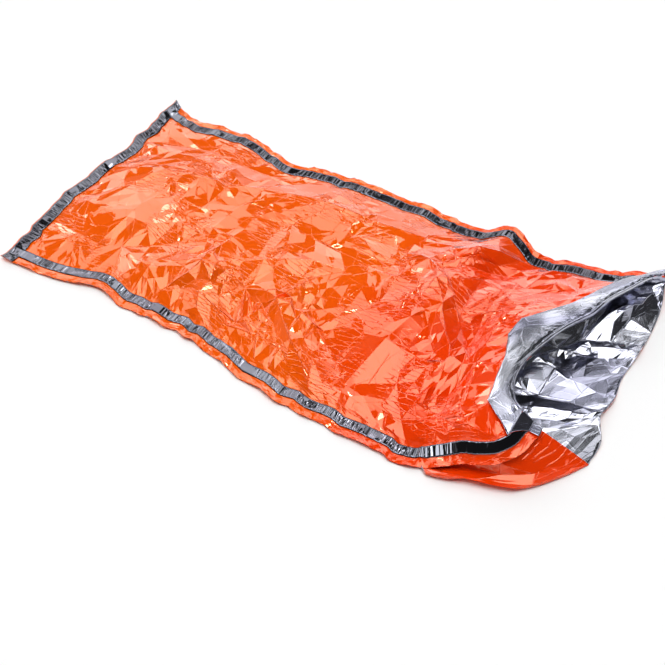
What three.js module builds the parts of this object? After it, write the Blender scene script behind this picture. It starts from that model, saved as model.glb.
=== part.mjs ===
// An emergency bivvy bag of metallised film, laid out on the ground with its mouth turned back.
// Millimetres. x runs from the foot to the mouth, y from the near side to the far side, z is up,
// and the ground is z = 0. The finished group is moved so that the middle of its footprint is at
// x = y = 0.
import * as THREE from 'three';

// ---------------------------------------------------------------- driving dimensions
const FILM = 1.3; // thickness of each sheet of film
const TAPE = 1.2; // thickness of the seam tape
const GAP = 0.6; // clear space between one piece and the next
const SIDE_SEAM = { near: 66, far: 58 }; // from the cut edge of the film in to the weld line
const SIDE_MARGIN = { near: 30, far: 20 }; // film left bare outside the tape
const FOOT_SEAM = 50;
const FOOT_MARGIN = 9;
const SEAM_LENGTH = { near: 1912, far: 2000 }; // cut edge, from the foot corner to the mouth
const TAPE_END = 26; // and this far short of the turned-back mouth
const WALL_TUCK = 4.5; // the near wall starts this far under the seam
const FOLD_TIP = 3; // how far the tuck's fold reaches in past the weld line
const CUFF_RADIUS = 9; // roundness of the turned-back fold
const HEM_RADIUS = 3.2; // the same fold where the seams end
const HEM_LENGTH = 9;
const SHOULDER = 4; // how square the puffed section is: 2 is a plain arch
const FOOT_REACH = 160; // the foot edge's own curve fades out over this much of the sides
const NEAR_TURN = { from: 1500, over: 120 }; // where the near seam starts to swing round the mouth
const WALL_LANDING = 99; // past the weld line, where the under sheet is down on the ground
const TANGENT_STEP = 12; // reach either way along a seam when its direction is measured
const CUFF_SAG = 6; // bow of the turned-back flap between its fold and its free edge

// Shares of the width or length over which one shape fades into the next.
const FOOT_CORNER = 0.06; // a foot row leaves the side seams' corners
const MOUTH_CORNER = 0.04; // a mouth edge leaves them
const TOP_FADE = { side: 0.12, foot: 0.05, mouth: 0.07 }; // the top sheet's folds at its edges
const UNDER_FADE = { side: 0.1, from: 0.8, over: 0.08 }; // the under sheet's folds, mouth only
const LIP_FROM = 0.93; // along the bag: the under sheet starts to lift to its mouth edge
const CLIMB_FROM = 0.86; // across it: the under sheet starts to climb to the far seam
const LIP_FOLDS = 0.5; // share of its folds' height that the mouth edge keeps

// ---------------------------------------------------------------- short tables
// The near cut edge: distance along it, place, and how steeply the seam climbs from it (degrees).
const NEAR_EDGE = [
  { along: 0, x: -20, y: -14, z: 3, tilt: -2.6 },
  { along: 120, x: 100, y: -16, z: 1, tilt: -0.9 },
  { along: 225, x: 205, y: -6, z: 0, tilt: 0 },
  { along: 290, x: 270, y: 8, z: 3, tilt: 0 },
  { along: 355, x: 335, y: 25, z: 6, tilt: -3 },
  { along: 425, x: 405, y: 17, z: 2, tilt: 0 },
  { along: 490, x: 470, y: 2, z: 0, tilt: 0 },
  { along: 620, x: 600, y: 3, z: 2, tilt: 0 },
  { along: 760, x: 740, y: -10, z: 1, tilt: 0 },
  { along: 930, x: 910, y: -50, z: 0, tilt: 0 },
  { along: 1070, x: 1050, y: -76, z: 2, tilt: 0 },
  { along: 1220, x: 1200, y: -91, z: 0, tilt: 0 },
  { along: 1360, x: 1340, y: -94, z: 2, tilt: 0 },
  { along: 1500, x: 1480, y: -102, z: 0, tilt: 0 },
  { along: 1550, x: 1530, y: -101, z: 4, tilt: 4 },
  { along: 1580, x: 1560, y: -93, z: 6, tilt: 8 },
  { along: 1645, x: 1622, y: -60, z: 13, tilt: 22 },
  { along: 1720, x: 1690, y: -24, z: 33, tilt: 38 },
  { along: 1795, x: 1760, y: 2, z: 60, tilt: 40 },
  { along: 1840, x: 1804, y: 48, z: 72, tilt: 36 },
  { along: 1880, x: 1822, y: 106, z: 78, tilt: 28 },
  { along: 1912, x: 1822, y: 152, z: 80, tilt: 23 },
];

// The far cut edge, with the hump where the seam twists and the raised mouth corner.
const FAR_EDGE = [
  { along: 0, x: -6, y: 978, z: 9, tilt: -8.9 },
  { along: 55, x: 48, y: 948, z: 4, tilt: -4 },
  { along: 120, x: 110, y: 925, z: 1, tilt: -1 },
  { along: 170, x: 160, y: 919, z: 2, tilt: 0 },
  { along: 310, x: 300, y: 941, z: 1, tilt: 0 },
  { along: 420, x: 410, y: 932, z: 2, tilt: 0 },
  { along: 560, x: 550, y: 885, z: 4, tilt: 0 },
  { along: 650, x: 640, y: 894, z: 1, tilt: 0 },
  { along: 870, x: 860, y: 918, z: 3, tilt: 0 },
  { along: 1060, x: 1050, y: 916, z: 1, tilt: 0 },
  { along: 1260, x: 1250, y: 899, z: 3, tilt: 0 },
  { along: 1325, x: 1315, y: 894, z: 8, tilt: 2 },
  { along: 1380, x: 1365, y: 900, z: 26, tilt: 5 },
  { along: 1435, x: 1415, y: 912, z: 44, tilt: 2 },
  { along: 1490, x: 1465, y: 900, z: 32, tilt: -4 },
  { along: 1540, x: 1512, y: 882, z: 10, tilt: -3 },
  { along: 1600, x: 1570, y: 880, z: 3, tilt: 0 },
  { along: 1690, x: 1660, y: 906, z: 4, tilt: 0 },
  { along: 1800, x: 1765, y: 922, z: 9, tilt: 3 },
  { along: 1900, x: 1862, y: 940, z: 25, tilt: 8 },
  { along: 2000, x: 1950, y: 974, z: 50, tilt: 10 },
];

// The foot's cut edge: x at each y.
const FOOT_EDGE = [
  { y: -14, x: -20 },
  { y: 120, x: -27 },
  { y: 300, x: -46 },
  { y: 450, x: -37 },
  { y: 590, x: -22 },
  { y: 655, x: -7 },
  { y: 720, x: -16 },
  { y: 800, x: -7 },
  { y: 900, x: -21 },
  { y: 978, x: -6 },
];

// How high the top sheet is puffed up over the line between its two seams, along the bag (0 is the
// foot's weld line and 1 the mouth).
const CROWN = [
  { u: 0, height: 0 },
  { u: 0.05, height: 24 },
  { u: 0.13, height: 38 },
  { u: 0.3, height: 43 },
  { u: 0.5, height: 45 },
  { u: 0.66, height: 48 },
  { u: 0.76, height: 54 },
  { u: 0.86, height: 58 },
  { u: 0.94, height: 34 },
  { u: 1, height: 0 },
];

// The near wall of the under sheet, where it stands up to the raised seam: how far it runs out
// under the seam, where it meets the ground, how far it bellies out there, and how far it is tucked.
const NEAR_WALL = [
  { along: 1500, under: -32, x: 1480, y: 62, belly: 32, tuck: 0 },
  { along: 1550, under: 6, x: 1530, y: -8, belly: 38, tuck: 0.6 },
  { along: 1580, under: 38, x: 1560, y: -72, belly: 74, tuck: 0.9 },
  { along: 1645, under: 60, x: 1622, y: -70, belly: 64, tuck: 1 },
  { along: 1720, under: 68, x: 1696, y: -42, belly: 52, tuck: 1 },
  { along: 1795, under: 70, x: 1788, y: -17, belly: 48, tuck: 1 },
  { along: 1840, under: 72, x: 1866, y: 18, belly: 42, tuck: 1 },
  { along: 1880, under: 76, x: 1930, y: 86, belly: 28, tuck: 1 },
  { along: 1912, under: 80, x: 1972, y: 162, belly: 16, tuck: 1 },
];

// The turned-back mouth of the top sheet: its fold, and the free edge that lies back on the bag,
// from the near weld line (0) to the far one (1).
const CUFF = [
  { t: 0, foldX: 1762, foldY: 137, foldZ: 105, edgeX: 1752, edgeY: 112, edgeZ: 124 },
  { t: 0.035, foldX: 1740, foldY: 160, foldZ: 105, edgeX: 1740, edgeY: 76, edgeZ: 124 },
  { t: 0.08, foldX: 1712, foldY: 190, foldZ: 104, edgeX: 1672, edgeY: 118, edgeZ: 117 },
  { t: 0.15, foldX: 1690, foldY: 250, foldZ: 105, edgeX: 1636, edgeY: 188, edgeZ: 118 },
  { t: 0.24, foldX: 1692, foldY: 330, foldZ: 106, edgeX: 1654, edgeY: 256, edgeZ: 124 },
  { t: 0.34, foldX: 1710, foldY: 412, foldZ: 107, edgeX: 1624, edgeY: 340, edgeZ: 120 },
  { t: 0.44, foldX: 1742, foldY: 506, foldZ: 106, edgeX: 1604, edgeY: 438, edgeZ: 117 },
  { t: 0.55, foldX: 1790, foldY: 598, foldZ: 104, edgeX: 1640, edgeY: 504, edgeZ: 119 },
  { t: 0.66, foldX: 1818, foldY: 686, foldZ: 101, edgeX: 1710, edgeY: 586, edgeZ: 119 },
  { t: 0.77, foldX: 1856, foldY: 770, foldZ: 94, edgeX: 1752, edgeY: 664, edgeZ: 112 },
  { t: 0.88, foldX: 1888, foldY: 850, foldZ: 80, edgeX: 1790, edgeY: 758, edgeZ: 96 },
  { t: 1, foldX: 1930, foldY: 919, foldZ: 60, edgeX: 1832, edgeY: 842, edgeZ: 66 },
];

// The under sheet's own mouth edge, from the foot of the near wall (0) to the far weld line (1).
const LOWER_LIP = [
  { t: 0, x: 1972, y: 166, z: 0 },
  { t: 0.12, x: 1976, y: 250, z: 5 },
  { t: 0.22, x: 1944, y: 325, z: 13 },
  { t: 0.34, x: 1956, y: 410, z: 6 },
  { t: 0.48, x: 1948, y: 510, z: 2 },
  { t: 0.62, x: 1960, y: 625, z: 9 },
  { t: 0.78, x: 1964, y: 750, z: 3 },
  { t: 0.9, x: 1956, y: 850, z: 16 },
  { t: 1, x: 1930, y: 919, z: 60 },
];

// Where the turned-back edge comes down on the far seam: on its tape, then on its cut edge.
const FAR_REACH = [
  { x: 1866, y: 898, z: 66 },
  { x: 1898, y: 938, z: 64 },
];

// Main folds of the top sheet: a line on the ground plan, half width, and height (less than 0 is a
// trough).
const TOP_FOLDS = [
  { x0: 1250, y0: 590, x1: 1500, y1: 262, width: 90, height: 19 },
  { x0: 1505, y0: 430, x1: 1545, y1: 100, width: 95, height: -28 },
  { x0: 1285, y0: 600, x1: 1490, y1: 705, width: 80, height: -15 },
  { x0: 1300, y0: 690, x1: 1560, y1: 810, width: 85, height: 14 },
  { x0: 1600, y0: 640, x1: 1740, y1: 760, width: 90, height: -12 },
  { x0: 905, y0: 230, x1: 1150, y1: 0, width: 85, height: 14 },
  { x0: 905, y0: 230, x1: 760, y1: 60, width: 85, height: -11 },
  { x0: 1010, y0: 260, x1: 1240, y1: 60, width: 85, height: -10 },
  { x0: 620, y0: 245, x1: 400, y1: 140, width: 85, height: 12 },
  { x0: 620, y0: 245, x1: 700, y1: 60, width: 85, height: 11 },
  { x0: 640, y0: 300, x1: 920, y1: 430, width: 90, height: 9 },
  { x0: 220, y0: 190, x1: 560, y1: 330, width: 90, height: -9 },
  { x0: 130, y0: 560, x1: 520, y1: 640, width: 90, height: 11 },
  { x0: 240, y0: 780, x1: 640, y1: 770, width: 90, height: -9 },
  { x0: 720, y0: 700, x1: 1180, y1: 720, width: 90, height: 10 },
  { x0: 760, y0: 560, x1: 1180, y1: 500, width: 90, height: -8 },
];

// Main folds of the under sheet where the open mouth shows it.
const UNDER_FOLDS = [
  { x0: 1700, y0: 240, x1: 1960, y1: 330, width: 60, height: 16 },
  { x0: 1760, y0: 430, x1: 1950, y1: 400, width: 55, height: 10 },
  { x0: 1800, y0: 560, x1: 1960, y1: 625, width: 60, height: 14 },
  { x0: 1830, y0: 700, x1: 1900, y1: 800, width: 55, height: 15 },
];

// ---------------------------------------------------------------- curves and blends
const vec = (x, y, z) => new THREE.Vector3(x, y, z);
const mix = (a, b, share) => a.clone().lerp(b, share);
const mixNumber = THREE.MathUtils.lerp;
const easeIn = (share) => THREE.MathUtils.smoothstep(share, 0, 1);
// 0 at either end of a 0 to 1 range, and 1 further in than a margin.
const nearEnd = (t, margin) => Math.min(t / margin, (1 - t) / margin, 1);

// The smooth curve through one column of a table, read at a value of its key column.
function through(rows, key, column, at) {
  const last = rows.length - 1;
  let i = 0;
  while (i < last - 1 && at > rows[i + 1][key]) i += 1;
  const slope = (k) => {
    const a = rows[Math.max(k - 1, 0)];
    const b = rows[Math.min(k + 1, last)];
    return (b[column] - a[column]) / (b[key] - a[key]);
  };
  const [p, q] = [rows[i], rows[i + 1]];
  const span = q[key] - p[key];
  const s = THREE.MathUtils.clamp((at - p[key]) / span, 0, 1);
  const bend = s * s * (3 - 2 * s);
  const leave = span * slope(i) * s * (1 - s) * (1 - s);
  const arrive = span * slope(i + 1) * s * s * (1 - s);
  return p[column] * (1 - bend) + q[column] * bend + leave - arrive;
}

// How far the foot edge's curve moves a point of a side seam along the bag.
function footSag(side, y, along) {
  const corner = FOOT_EDGE.at(side === 'near' ? 0 : -1).x;
  return (through(FOOT_EDGE, 'y', 'x', y) - corner) * (1 - easeIn(along / FOOT_REACH));
}

// A side seam at a distance along its cut edge: the edge, the direction across to the weld line,
// the level direction into the bag and the seam's upward normal.
function seamAt(side, along) {
  const rows = side === 'near' ? NEAR_EDGE : FAR_EDGE;
  const turn = side === 'near' ? 1 : -1;
  const column = (name, s) => through(rows, 'along', name, s);
  const place = (s) => vec(column('x', s), column('y', s), Math.max(column('z', s), 0));
  const run = place(along + TANGENT_STEP).sub(place(along - TANGENT_STEP)).normalize();
  const swing = side === 'near' ? easeIn((along - NEAR_TURN.from) / NEAR_TURN.over) : 0;
  const tilt = THREE.MathUtils.degToRad(column('tilt', along));
  const inward = vec(-run.y * turn * swing, run.x * turn, 0).normalize();
  const across = inward.clone().multiplyScalar(Math.cos(tilt)).setZ(Math.sin(tilt));
  const up = run.clone().cross(across).multiplyScalar(turn).normalize();
  return { edge: place(along), across, inward, up };
}

// A point of a side seam, an inset from the cut edge.
function seamPoint(side, along, inset) {
  const { edge, across } = seamAt(side, along);
  const point = edge.addScaledVector(across, inset);
  point.x += footSag(side, point.y, along);
  point.z = Math.max(point.z, 0);
  return point;
}

// Heights that a table of folds adds at a point of the ground plan.
function foldHeight(folds, x, y) {
  let height = 0;
  for (const fold of folds) {
    const runX = fold.x1 - fold.x0;
    const runY = fold.y1 - fold.y0;
    const length = Math.hypot(runX, runY);
    const along = ((x - fold.x0) * runX + (y - fold.y0) * runY) / length;
    const off = Math.abs((x - fold.x0) * runY - (y - fold.y0) * runX) / length;
    const past = Math.max(-along, along - length, 0);
    const far = Math.hypot(off, past) / fold.width;
    if (far < 1) height += fold.height * (1 - easeIn(far));
  }
  return height;
}

// A patch between four edges: near and far are read at u, foot and mouth at t.
function patch(edges, u, t) {
  const sides = mix(edges.near(u), edges.far(u), t);
  const ends = mix(edges.foot(t), edges.mouth(t), u);
  const footLine = mix(edges.near(0), edges.far(0), t);
  const mouthLine = mix(edges.near(1), edges.far(1), t);
  return sides.add(ends).sub(mix(footLine, mouthLine, u));
}

// ---------------------------------------------------------------- the two sheets' common grid
const alongAt = (side, u) => FOOT_SEAM + u * (SEAM_LENGTH[side] - FOOT_SEAM);
const spread = (count, from, to) =>
  Array.from({ length: count }, (_, i) => from + ((to - from) * i) / count);

// Stations along the bag, closer together towards the mouth.
const STATIONS = [...spread(22, 0, 0.69), ...spread(9, 0.69, 0.84), ...spread(11, 0.84, 1), 1];
const TOP_COLUMNS = [0, 0.035, 0.08, 0.13, 0.19, 0.25, 0.32, 0.39, 0.46, 0.53, 0.6, 0.67, 0.74,
  0.81, 0.87, 0.92, 0.96, 1];
const UNDER_COLUMNS = [0, 0.09, 0.19, 0.3, 0.42, 0.54, 0.66, 0.77, 0.86, 0.93, 1];
const WALL_STEPS = [0.2, 0.42, 0.6, 0.76, 0.88];
// The same wall columns in the flat foot seam: distances in from the weld line.
const WALL_INSETS = [FOLD_TIP, 2 * FOLD_TIP, 25, 47, 66, 79, 88, WALL_LANDING];
const CUFF_TURNS = [0.3, 0.55, 0.8, 1]; // shares of the half turn round the fold
const CUFF_STEPS = [0.34, 0.67, 1]; // shares of the way from the fold to the free edge
const FAR_ROUNDING = 0.7; // the fold is this much tighter on the far seam

const weldCurve = (side) => (u) => seamPoint(side, alongAt(side, u), SIDE_SEAM[side]);

// A point of the line at the inner edge of the foot seam.
function footWeld(from, to, t) {
  const point = mix(from, to, t);
  const drawn = through(FOOT_EDGE, 'y', 'x', point.y) + FOOT_SEAM;
  point.x = mixNumber(point.x, drawn, nearEnd(t, FOOT_CORNER));
  return point;
}

function cuffRow(t) {
  const at = (column) => through(CUFF, 't', column, t);
  return {
    fold: vec(at('foldX'), at('foldY'), at('foldZ')),
    edge: vec(at('edgeX'), at('edgeY'), at('edgeZ')),
  };
}

const topEdges = {
  near: weldCurve('near'),
  far: weldCurve('far'),
  foot: (t) => footWeld(weldCurve('near')(0), weldCurve('far')(0), t),
  mouth: (t) => {
    const ends = mix(weldCurve('near')(1), weldCurve('far')(1), t);
    return mix(ends, cuffRow(t).fold, nearEnd(t, MOUTH_CORNER));
  },
};

function topPoint(u, t) {
  const point = patch(topEdges, u, t);
  const crown = through(CROWN, 'u', 'height', u) * (1 - Math.abs(2 * t - 1) ** SHOULDER);
  const inSides = easeIn(Math.min(t, 1 - t) / TOP_FADE.side);
  const hold = inSides * easeIn(u / TOP_FADE.foot) * easeIn((1 - u) / TOP_FADE.mouth);
  point.z += FILM + GAP + crown + hold * foldHeight(TOP_FOLDS, point.x, point.y);
  return point;
}

// Where the near wall meets the ground.
function wallFoot(u) {
  const along = alongAt('near', u);
  if (along <= NEAR_WALL[0].along) {
    return weldCurve('near')(u).add(vec(0, WALL_LANDING, 0)).setZ(0);
  }
  return vec(through(NEAR_WALL, 'along', 'x', along), through(NEAR_WALL, 'along', 'y', along), 0);
}

const underEdges = {
  near: wallFoot,
  far: weldCurve('far'),
  foot: (t) => footWeld(wallFoot(0), weldCurve('far')(0), t),
  mouth: (t) => {
    const ends = mix(wallFoot(1), weldCurve('far')(1), t);
    const table = vec(...['x', 'y', 'z'].map((column) => through(LOWER_LIP, 't', column, t)));
    return mix(ends, table, nearEnd(t, MOUTH_CORNER));
  },
};

function underPoint(u, t) {
  const point = patch(underEdges, u, t);
  const atLip = easeIn((u - LIP_FROM) / (1 - LIP_FROM));
  const atFar = easeIn((t - CLIMB_FROM) / (1 - CLIMB_FROM));
  const rest = Math.max(atFar * underEdges.far(u).z, (1 - atFar) * atLip * underEdges.mouth(t).z);
  const inSides = easeIn(Math.min(t, 1 - t) / UNDER_FADE.side);
  const hold = inSides * easeIn((u - UNDER_FADE.from) / UNDER_FADE.over);
  const kept = 1 - LIP_FOLDS * atLip;
  point.z = rest + hold * kept * foldHeight(UNDER_FOLDS, point.x, point.y);
  return point;
}

// The near wall, from under the seam's weld line down to the ground.
function wallPoints(u) {
  const along = alongAt('near', u);
  const { across, inward, up } = seamAt('near', along);
  const weld = weldCurve('near')(u);
  const at = (column) => through(NEAR_WALL, 'along', column, Math.max(along, NEAR_WALL[0].along));
  const tuck = at('tuck') * WALL_TUCK;
  const start = weld.clone().addScaledVector(up, -tuck);
  start.addScaledVector(inward, 2 * FOLD_TIP * (1 - at('tuck')));
  const tip = weld.clone().addScaledVector(up, -tuck / 2).addScaledVector(inward, FOLD_TIP);
  const ground = wallFoot(u);
  const curve = new THREE.CubicBezierCurve3(
    start,
    start.clone().addScaledVector(across, -at('under')),
    ground.clone().addScaledVector(inward, -at('belly')),
    ground,
  );
  const points = [tip, start, ...WALL_STEPS.map((share) => curve.getPoint(share))];
  return points.map((point) => point.setZ(Math.max(point.z, 0)));
}

// ---------------------------------------------------------------- seam strips
// Points across a side seam, from the cut edge in to the weld line, lifted off the under sheet's
// lower face by a height.
function seamPoints(side, along, insets, height) {
  const { up } = seamAt(side, along);
  return insets.map((inset) => ({
    p: seamPoint(side, along, inset).addScaledVector(up, height),
    n: up.clone(),
  }));
}

const seamInsets = (side) => [0, SIDE_MARGIN[side], SIDE_SEAM[side]];

// One row in the foot seam, a distance in from the foot's cut edge.
function footRow(inset, height, columns) {
  const nearSide = seamPoints('near', inset, seamInsets('near'), height);
  const farSide = seamPoints('far', inset, seamInsets('far'), height).reverse();
  const [from, to] = [nearSide.at(-1).p, farSide[0].p];
  const inner = columns.slice(1, -1).map((t) => {
    const point = mix(from, to, t);
    const drawn = through(FOOT_EDGE, 'y', 'x', point.y) + inset;
    point.x = mixNumber(point.x, drawn, nearEnd(t, FOOT_CORNER));
    return { p: point, n: vec(0, 0, 1) };
  });
  return [...nearSide, ...inner, ...farSide];
}

// ---------------------------------------------------------------- solids
// Fills in the normals that a grid leaves out, from its own neighbours.
function withNormals(grid) {
  const place = (i, j) => {
    const row = grid[THREE.MathUtils.clamp(i, 0, grid.length - 1)];
    return row[THREE.MathUtils.clamp(j, 0, row.length - 1)].p;
  };
  return grid.map((row, i) =>
    row.map(({ p, n }, j) => {
      if (n) return { p, n };
      const along = place(i + 1, j).clone().sub(place(i - 1, j)).normalize();
      const across = place(i, j + 1).clone().sub(place(i, j - 1)).normalize();
      return { p, n: along.cross(across).normalize() };
    }),
  );
}

// A closed sheet on a grid of points, thickened along the points' normals.
function sheet(grid, thickness) {
  const rows = grid.length;
  const columns = grid[0].length;
  const cells = withNormals(grid).flat();
  const under = cells.map(({ p }) => p);
  const over = cells.map(({ p, n }) => p.clone().addScaledVector(n, thickness));
  const at = (i, j, level) => level * rows * columns + i * columns + j;
  const index = [];
  const quad = (a, b, c, d) => index.push(a, b, c, a, c, d);
  for (let i = 0; i < rows - 1; i += 1) {
    for (let j = 0; j < columns - 1; j += 1) {
      quad(at(i, j, 1), at(i + 1, j, 1), at(i + 1, j + 1, 1), at(i, j + 1, 1));
      index.push(at(i, j, 0), at(i + 1, j + 1, 0), at(i + 1, j, 0));
      index.push(at(i, j, 0), at(i, j + 1, 0), at(i + 1, j + 1, 0));
    }
  }
  const right = columns - 1;
  const end = rows - 1;
  for (let i = 0; i < end; i += 1) {
    quad(at(i, 0, 0), at(i + 1, 0, 0), at(i + 1, 0, 1), at(i, 0, 1));
    quad(at(i + 1, right, 0), at(i, right, 0), at(i, right, 1), at(i + 1, right, 1));
  }
  for (let j = 0; j < right; j += 1) {
    quad(at(0, j + 1, 0), at(0, j, 0), at(0, j, 1), at(0, j + 1, 1));
    quad(at(end, j, 0), at(end, j + 1, 0), at(end, j + 1, 1), at(end, j, 1));
  }
  const geometry = new THREE.BufferGeometry().setFromPoints([...under, ...over]);
  geometry.setIndex(index);
  return geometry;
}

const plain = (points) => points.map((p) => ({ p, n: null }));

// ---------------------------------------------------------------- the pieces
function bottomPanel() {
  const { near, far } = topEdges;
  const width = near(0).distanceTo(far(0));
  const wall = WALL_INSETS.map((inset) => inset / width);
  const floorColumns = UNDER_COLUMNS.slice(1).map((t) => mixNumber(wall.at(-1), 1, t));
  const columns = [0, ...wall, ...floorColumns];
  const rows = [0, FOOT_MARGIN].map((inset) => footRow(inset, 0, columns));
  for (const u of STATIONS) {
    const nearSide = seamPoints('near', alongAt('near', u), seamInsets('near'), 0);
    const farSide = seamPoints('far', alongAt('far', u), seamInsets('far'), 0).reverse();
    const floor = UNDER_COLUMNS.slice(0, -1).map((t) => underPoint(u, t));
    rows.push([...nearSide, ...plain(wallPoints(u)), ...plain(floor), ...farSide]);
  }
  return sheet(rows, FILM);
}

function topPanel() {
  const lift = FILM + GAP;
  const rows = [0, FOOT_MARGIN].map((inset) => footRow(inset, lift, TOP_COLUMNS));
  for (const u of STATIONS) {
    const nearSide = seamPoints('near', alongAt('near', u), seamInsets('near'), lift);
    const farSide = seamPoints('far', alongAt('far', u), seamInsets('far'), lift).reverse();
    const body = TOP_COLUMNS.slice(1, -1).map((t) => topPoint(u, t));
    rows.push([...nearSide, ...plain(body), ...farSide]);
  }
  return sheet([...rows, ...cuffRows(rows.at(-1))], FILM);
}

// The turned-back end of the top sheet: round the fold, then back over the bag to the free edge.
function cuffRows(last) {
  const { up: seamUp, inward } = seamAt('near', SEAM_LENGTH.near);
  const seamBack = vec(inward.y, -inward.x, 0);
  const up = vec(0, 0, 1);
  const seamColumns = seamInsets('near').length - 1;
  const columns = last.map(({ p }, j) => {
    if (j < seamColumns) return { p, radius: HEM_RADIUS, up: seamUp, back: seamBack };
    const inner = j - seamColumns;
    if (inner < TOP_COLUMNS.length) {
      return { p, radius: CUFF_RADIUS, up, edge: cuffRow(TOP_COLUMNS[inner]).edge };
    }
    const { x, y, z } = FAR_REACH[inner - TOP_COLUMNS.length];
    return { p, radius: CUFF_RADIUS * FAR_ROUNDING, up, edge: vec(x, y, z) };
  });
  const turned = CUFF_TURNS.map((turn) => columns.map((column) => {
    const heading = column.edge
      ? column.p.clone().sub(column.edge).setZ(0).normalize()
      : column.back.clone().negate();
    const angle = turn * Math.PI;
    const point = column.p.clone().addScaledVector(heading, column.radius * Math.sin(angle));
    return point.addScaledVector(column.up, column.radius * (1 - Math.cos(angle)));
  }));
  const flap = CUFF_STEPS.map((share) => columns.map(({ edge, back }, j) => {
    const top = turned.at(-1)[j];
    if (!edge) return top.clone().addScaledVector(back, HEM_LENGTH * share);
    return mix(top, edge, share).add(vec(0, 0, CUFF_SAG * share * (1 - share)));
  }));
  return [...turned, ...flap].map(plain);
}

function sideTape(side) {
  const height = 2 * (FILM + GAP);
  const insets = [SIDE_MARGIN[side], SIDE_SEAM[side]];
  const last = SEAM_LENGTH[side] - TAPE_END;
  const stops = STATIONS.map((u) => alongAt(side, u)).filter((along) => along < last - 1);
  stops[0] += GAP;
  stops.push(last);
  const rows = stops.map((along) => {
    const points = seamPoints(side, along, insets, height);
    return side === 'near' ? points : points.reverse();
  });
  return sheet(rows, TAPE);
}

function footTape() {
  const rows = [FOOT_MARGIN, FOOT_SEAM - GAP].map((inset) =>
    footRow(inset, 2 * (FILM + GAP), TOP_COLUMNS));
  return sheet(rows, TAPE);
}

// ---------------------------------------------------------------- assembly
const film = new THREE.MeshStandardMaterial({ color: 0xff5a0a, roughness: 0.2, metalness: 0 });
const mirror = new THREE.MeshStandardMaterial({ color: 0x6f6f78, roughness: 0.15, metalness: 1 });

const bag = new THREE.Group();
const pieces = [
  ['bottom_panel', bottomPanel(), film],
  ['top_panel', topPanel(), film],
  ['seam_tape_near', sideTape('near'), mirror],
  ['seam_tape_far', sideTape('far'), mirror],
  ['seam_tape_foot', footTape(), mirror],
];
for (const [name, geometry, material] of pieces) {
  const mesh = new THREE.Mesh(geometry, material);
  mesh.name = name;
  bag.add(mesh);
}
const footprint = new THREE.Box3().setFromObject(bag).getCenter(vec(0, 0, 0));
bag.position.set(-footprint.x, -footprint.y, 0);

export default bag;
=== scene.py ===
"""Dresses an emergency bivvy bag of metallised film, laid out flat with its mouth turned back.

The bag frame has x from the foot to the mouth, y from the near side to the far side and z up, in
millimetres. Pieces are built there and moved into the row frame, in metres, at the end.
"""
import logging
import math
from collections.abc import Sequence
from dataclasses import dataclass
from enum import Enum
from functools import cached_property

import bpy
import numpy as np
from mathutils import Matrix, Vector
from mathutils.geometry import delaunay_2d_cdt


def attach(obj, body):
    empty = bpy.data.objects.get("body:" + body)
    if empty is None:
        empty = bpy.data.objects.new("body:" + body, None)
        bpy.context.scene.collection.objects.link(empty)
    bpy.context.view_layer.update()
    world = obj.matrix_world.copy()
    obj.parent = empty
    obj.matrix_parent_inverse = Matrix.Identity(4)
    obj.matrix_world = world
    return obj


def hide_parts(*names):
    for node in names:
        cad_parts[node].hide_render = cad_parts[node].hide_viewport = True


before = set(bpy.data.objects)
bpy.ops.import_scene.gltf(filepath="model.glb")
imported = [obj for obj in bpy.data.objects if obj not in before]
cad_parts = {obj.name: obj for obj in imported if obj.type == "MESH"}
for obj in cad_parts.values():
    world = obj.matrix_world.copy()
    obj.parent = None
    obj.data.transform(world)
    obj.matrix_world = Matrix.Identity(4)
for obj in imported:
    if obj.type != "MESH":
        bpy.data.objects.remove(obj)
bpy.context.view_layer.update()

logging.basicConfig(level=logging.INFO, format="%(name)s: %(message)s")
log = logging.getLogger("bivvy_bag")

Array = np.ndarray
Socket, Tree, Material = bpy.types.NodeSocket, bpy.types.NodeTree, bpy.types.Material
MM = 0.001
ROW_SHIFT = np.array([-965.93, -437.74, 0.0])  # from the bag frame to the row frame


class Edge(Enum):
    """The closed edges of the bag."""

    NEAR = "near"
    FAR = "far"
    FOOT = "foot"


class Lie(Enum):
    """Which way a sheet's outer face looks on its flat cut."""

    OUTER_UP = 1
    OUTER_DOWN = -1


# Sizes that several pieces share, in millimetres.
BAG_WIDTH = 1000.0
MOUTH_AT = 1960.0  # from the foot's cut edge to the mouth
TURN_LENGTH = 28.0  # of the film in the round fold at the mouth
WALL_WIDTH = 140.0  # of the film in the near wall
SEAM_LENGTH = {Edge.NEAR: 1912.0, Edge.FAR: 2000.0}
SIDE_SEAM = {Edge.NEAR: 66.0, Edge.FAR: 58.0}  # from a long cut edge to its weld line
SIDE_MARGIN = {Edge.NEAR: 30.0, Edge.FAR: 20.0}  # from a long cut edge to its tape
FOOT_SEAM = 50.0  # from the foot's cut edge to its weld line
NEAR_WELD, FAR_WELD = SIDE_SEAM[Edge.NEAR], BAG_WIDTH - SIDE_SEAM[Edge.FAR]  # on the flat cut
TURN_MIDDLE, TURN_END = MOUTH_AT + TURN_LENGTH / 2, MOUTH_AT + TURN_LENGTH
LIFT = 1.9  # the top sheet's lower face over the under sheet's, in a seam
FOOT_CORNER = 0.06  # share of the width in which the foot line leaves its corners
MOUTH_CORNER = 0.04  # the same for the mouth


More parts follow.
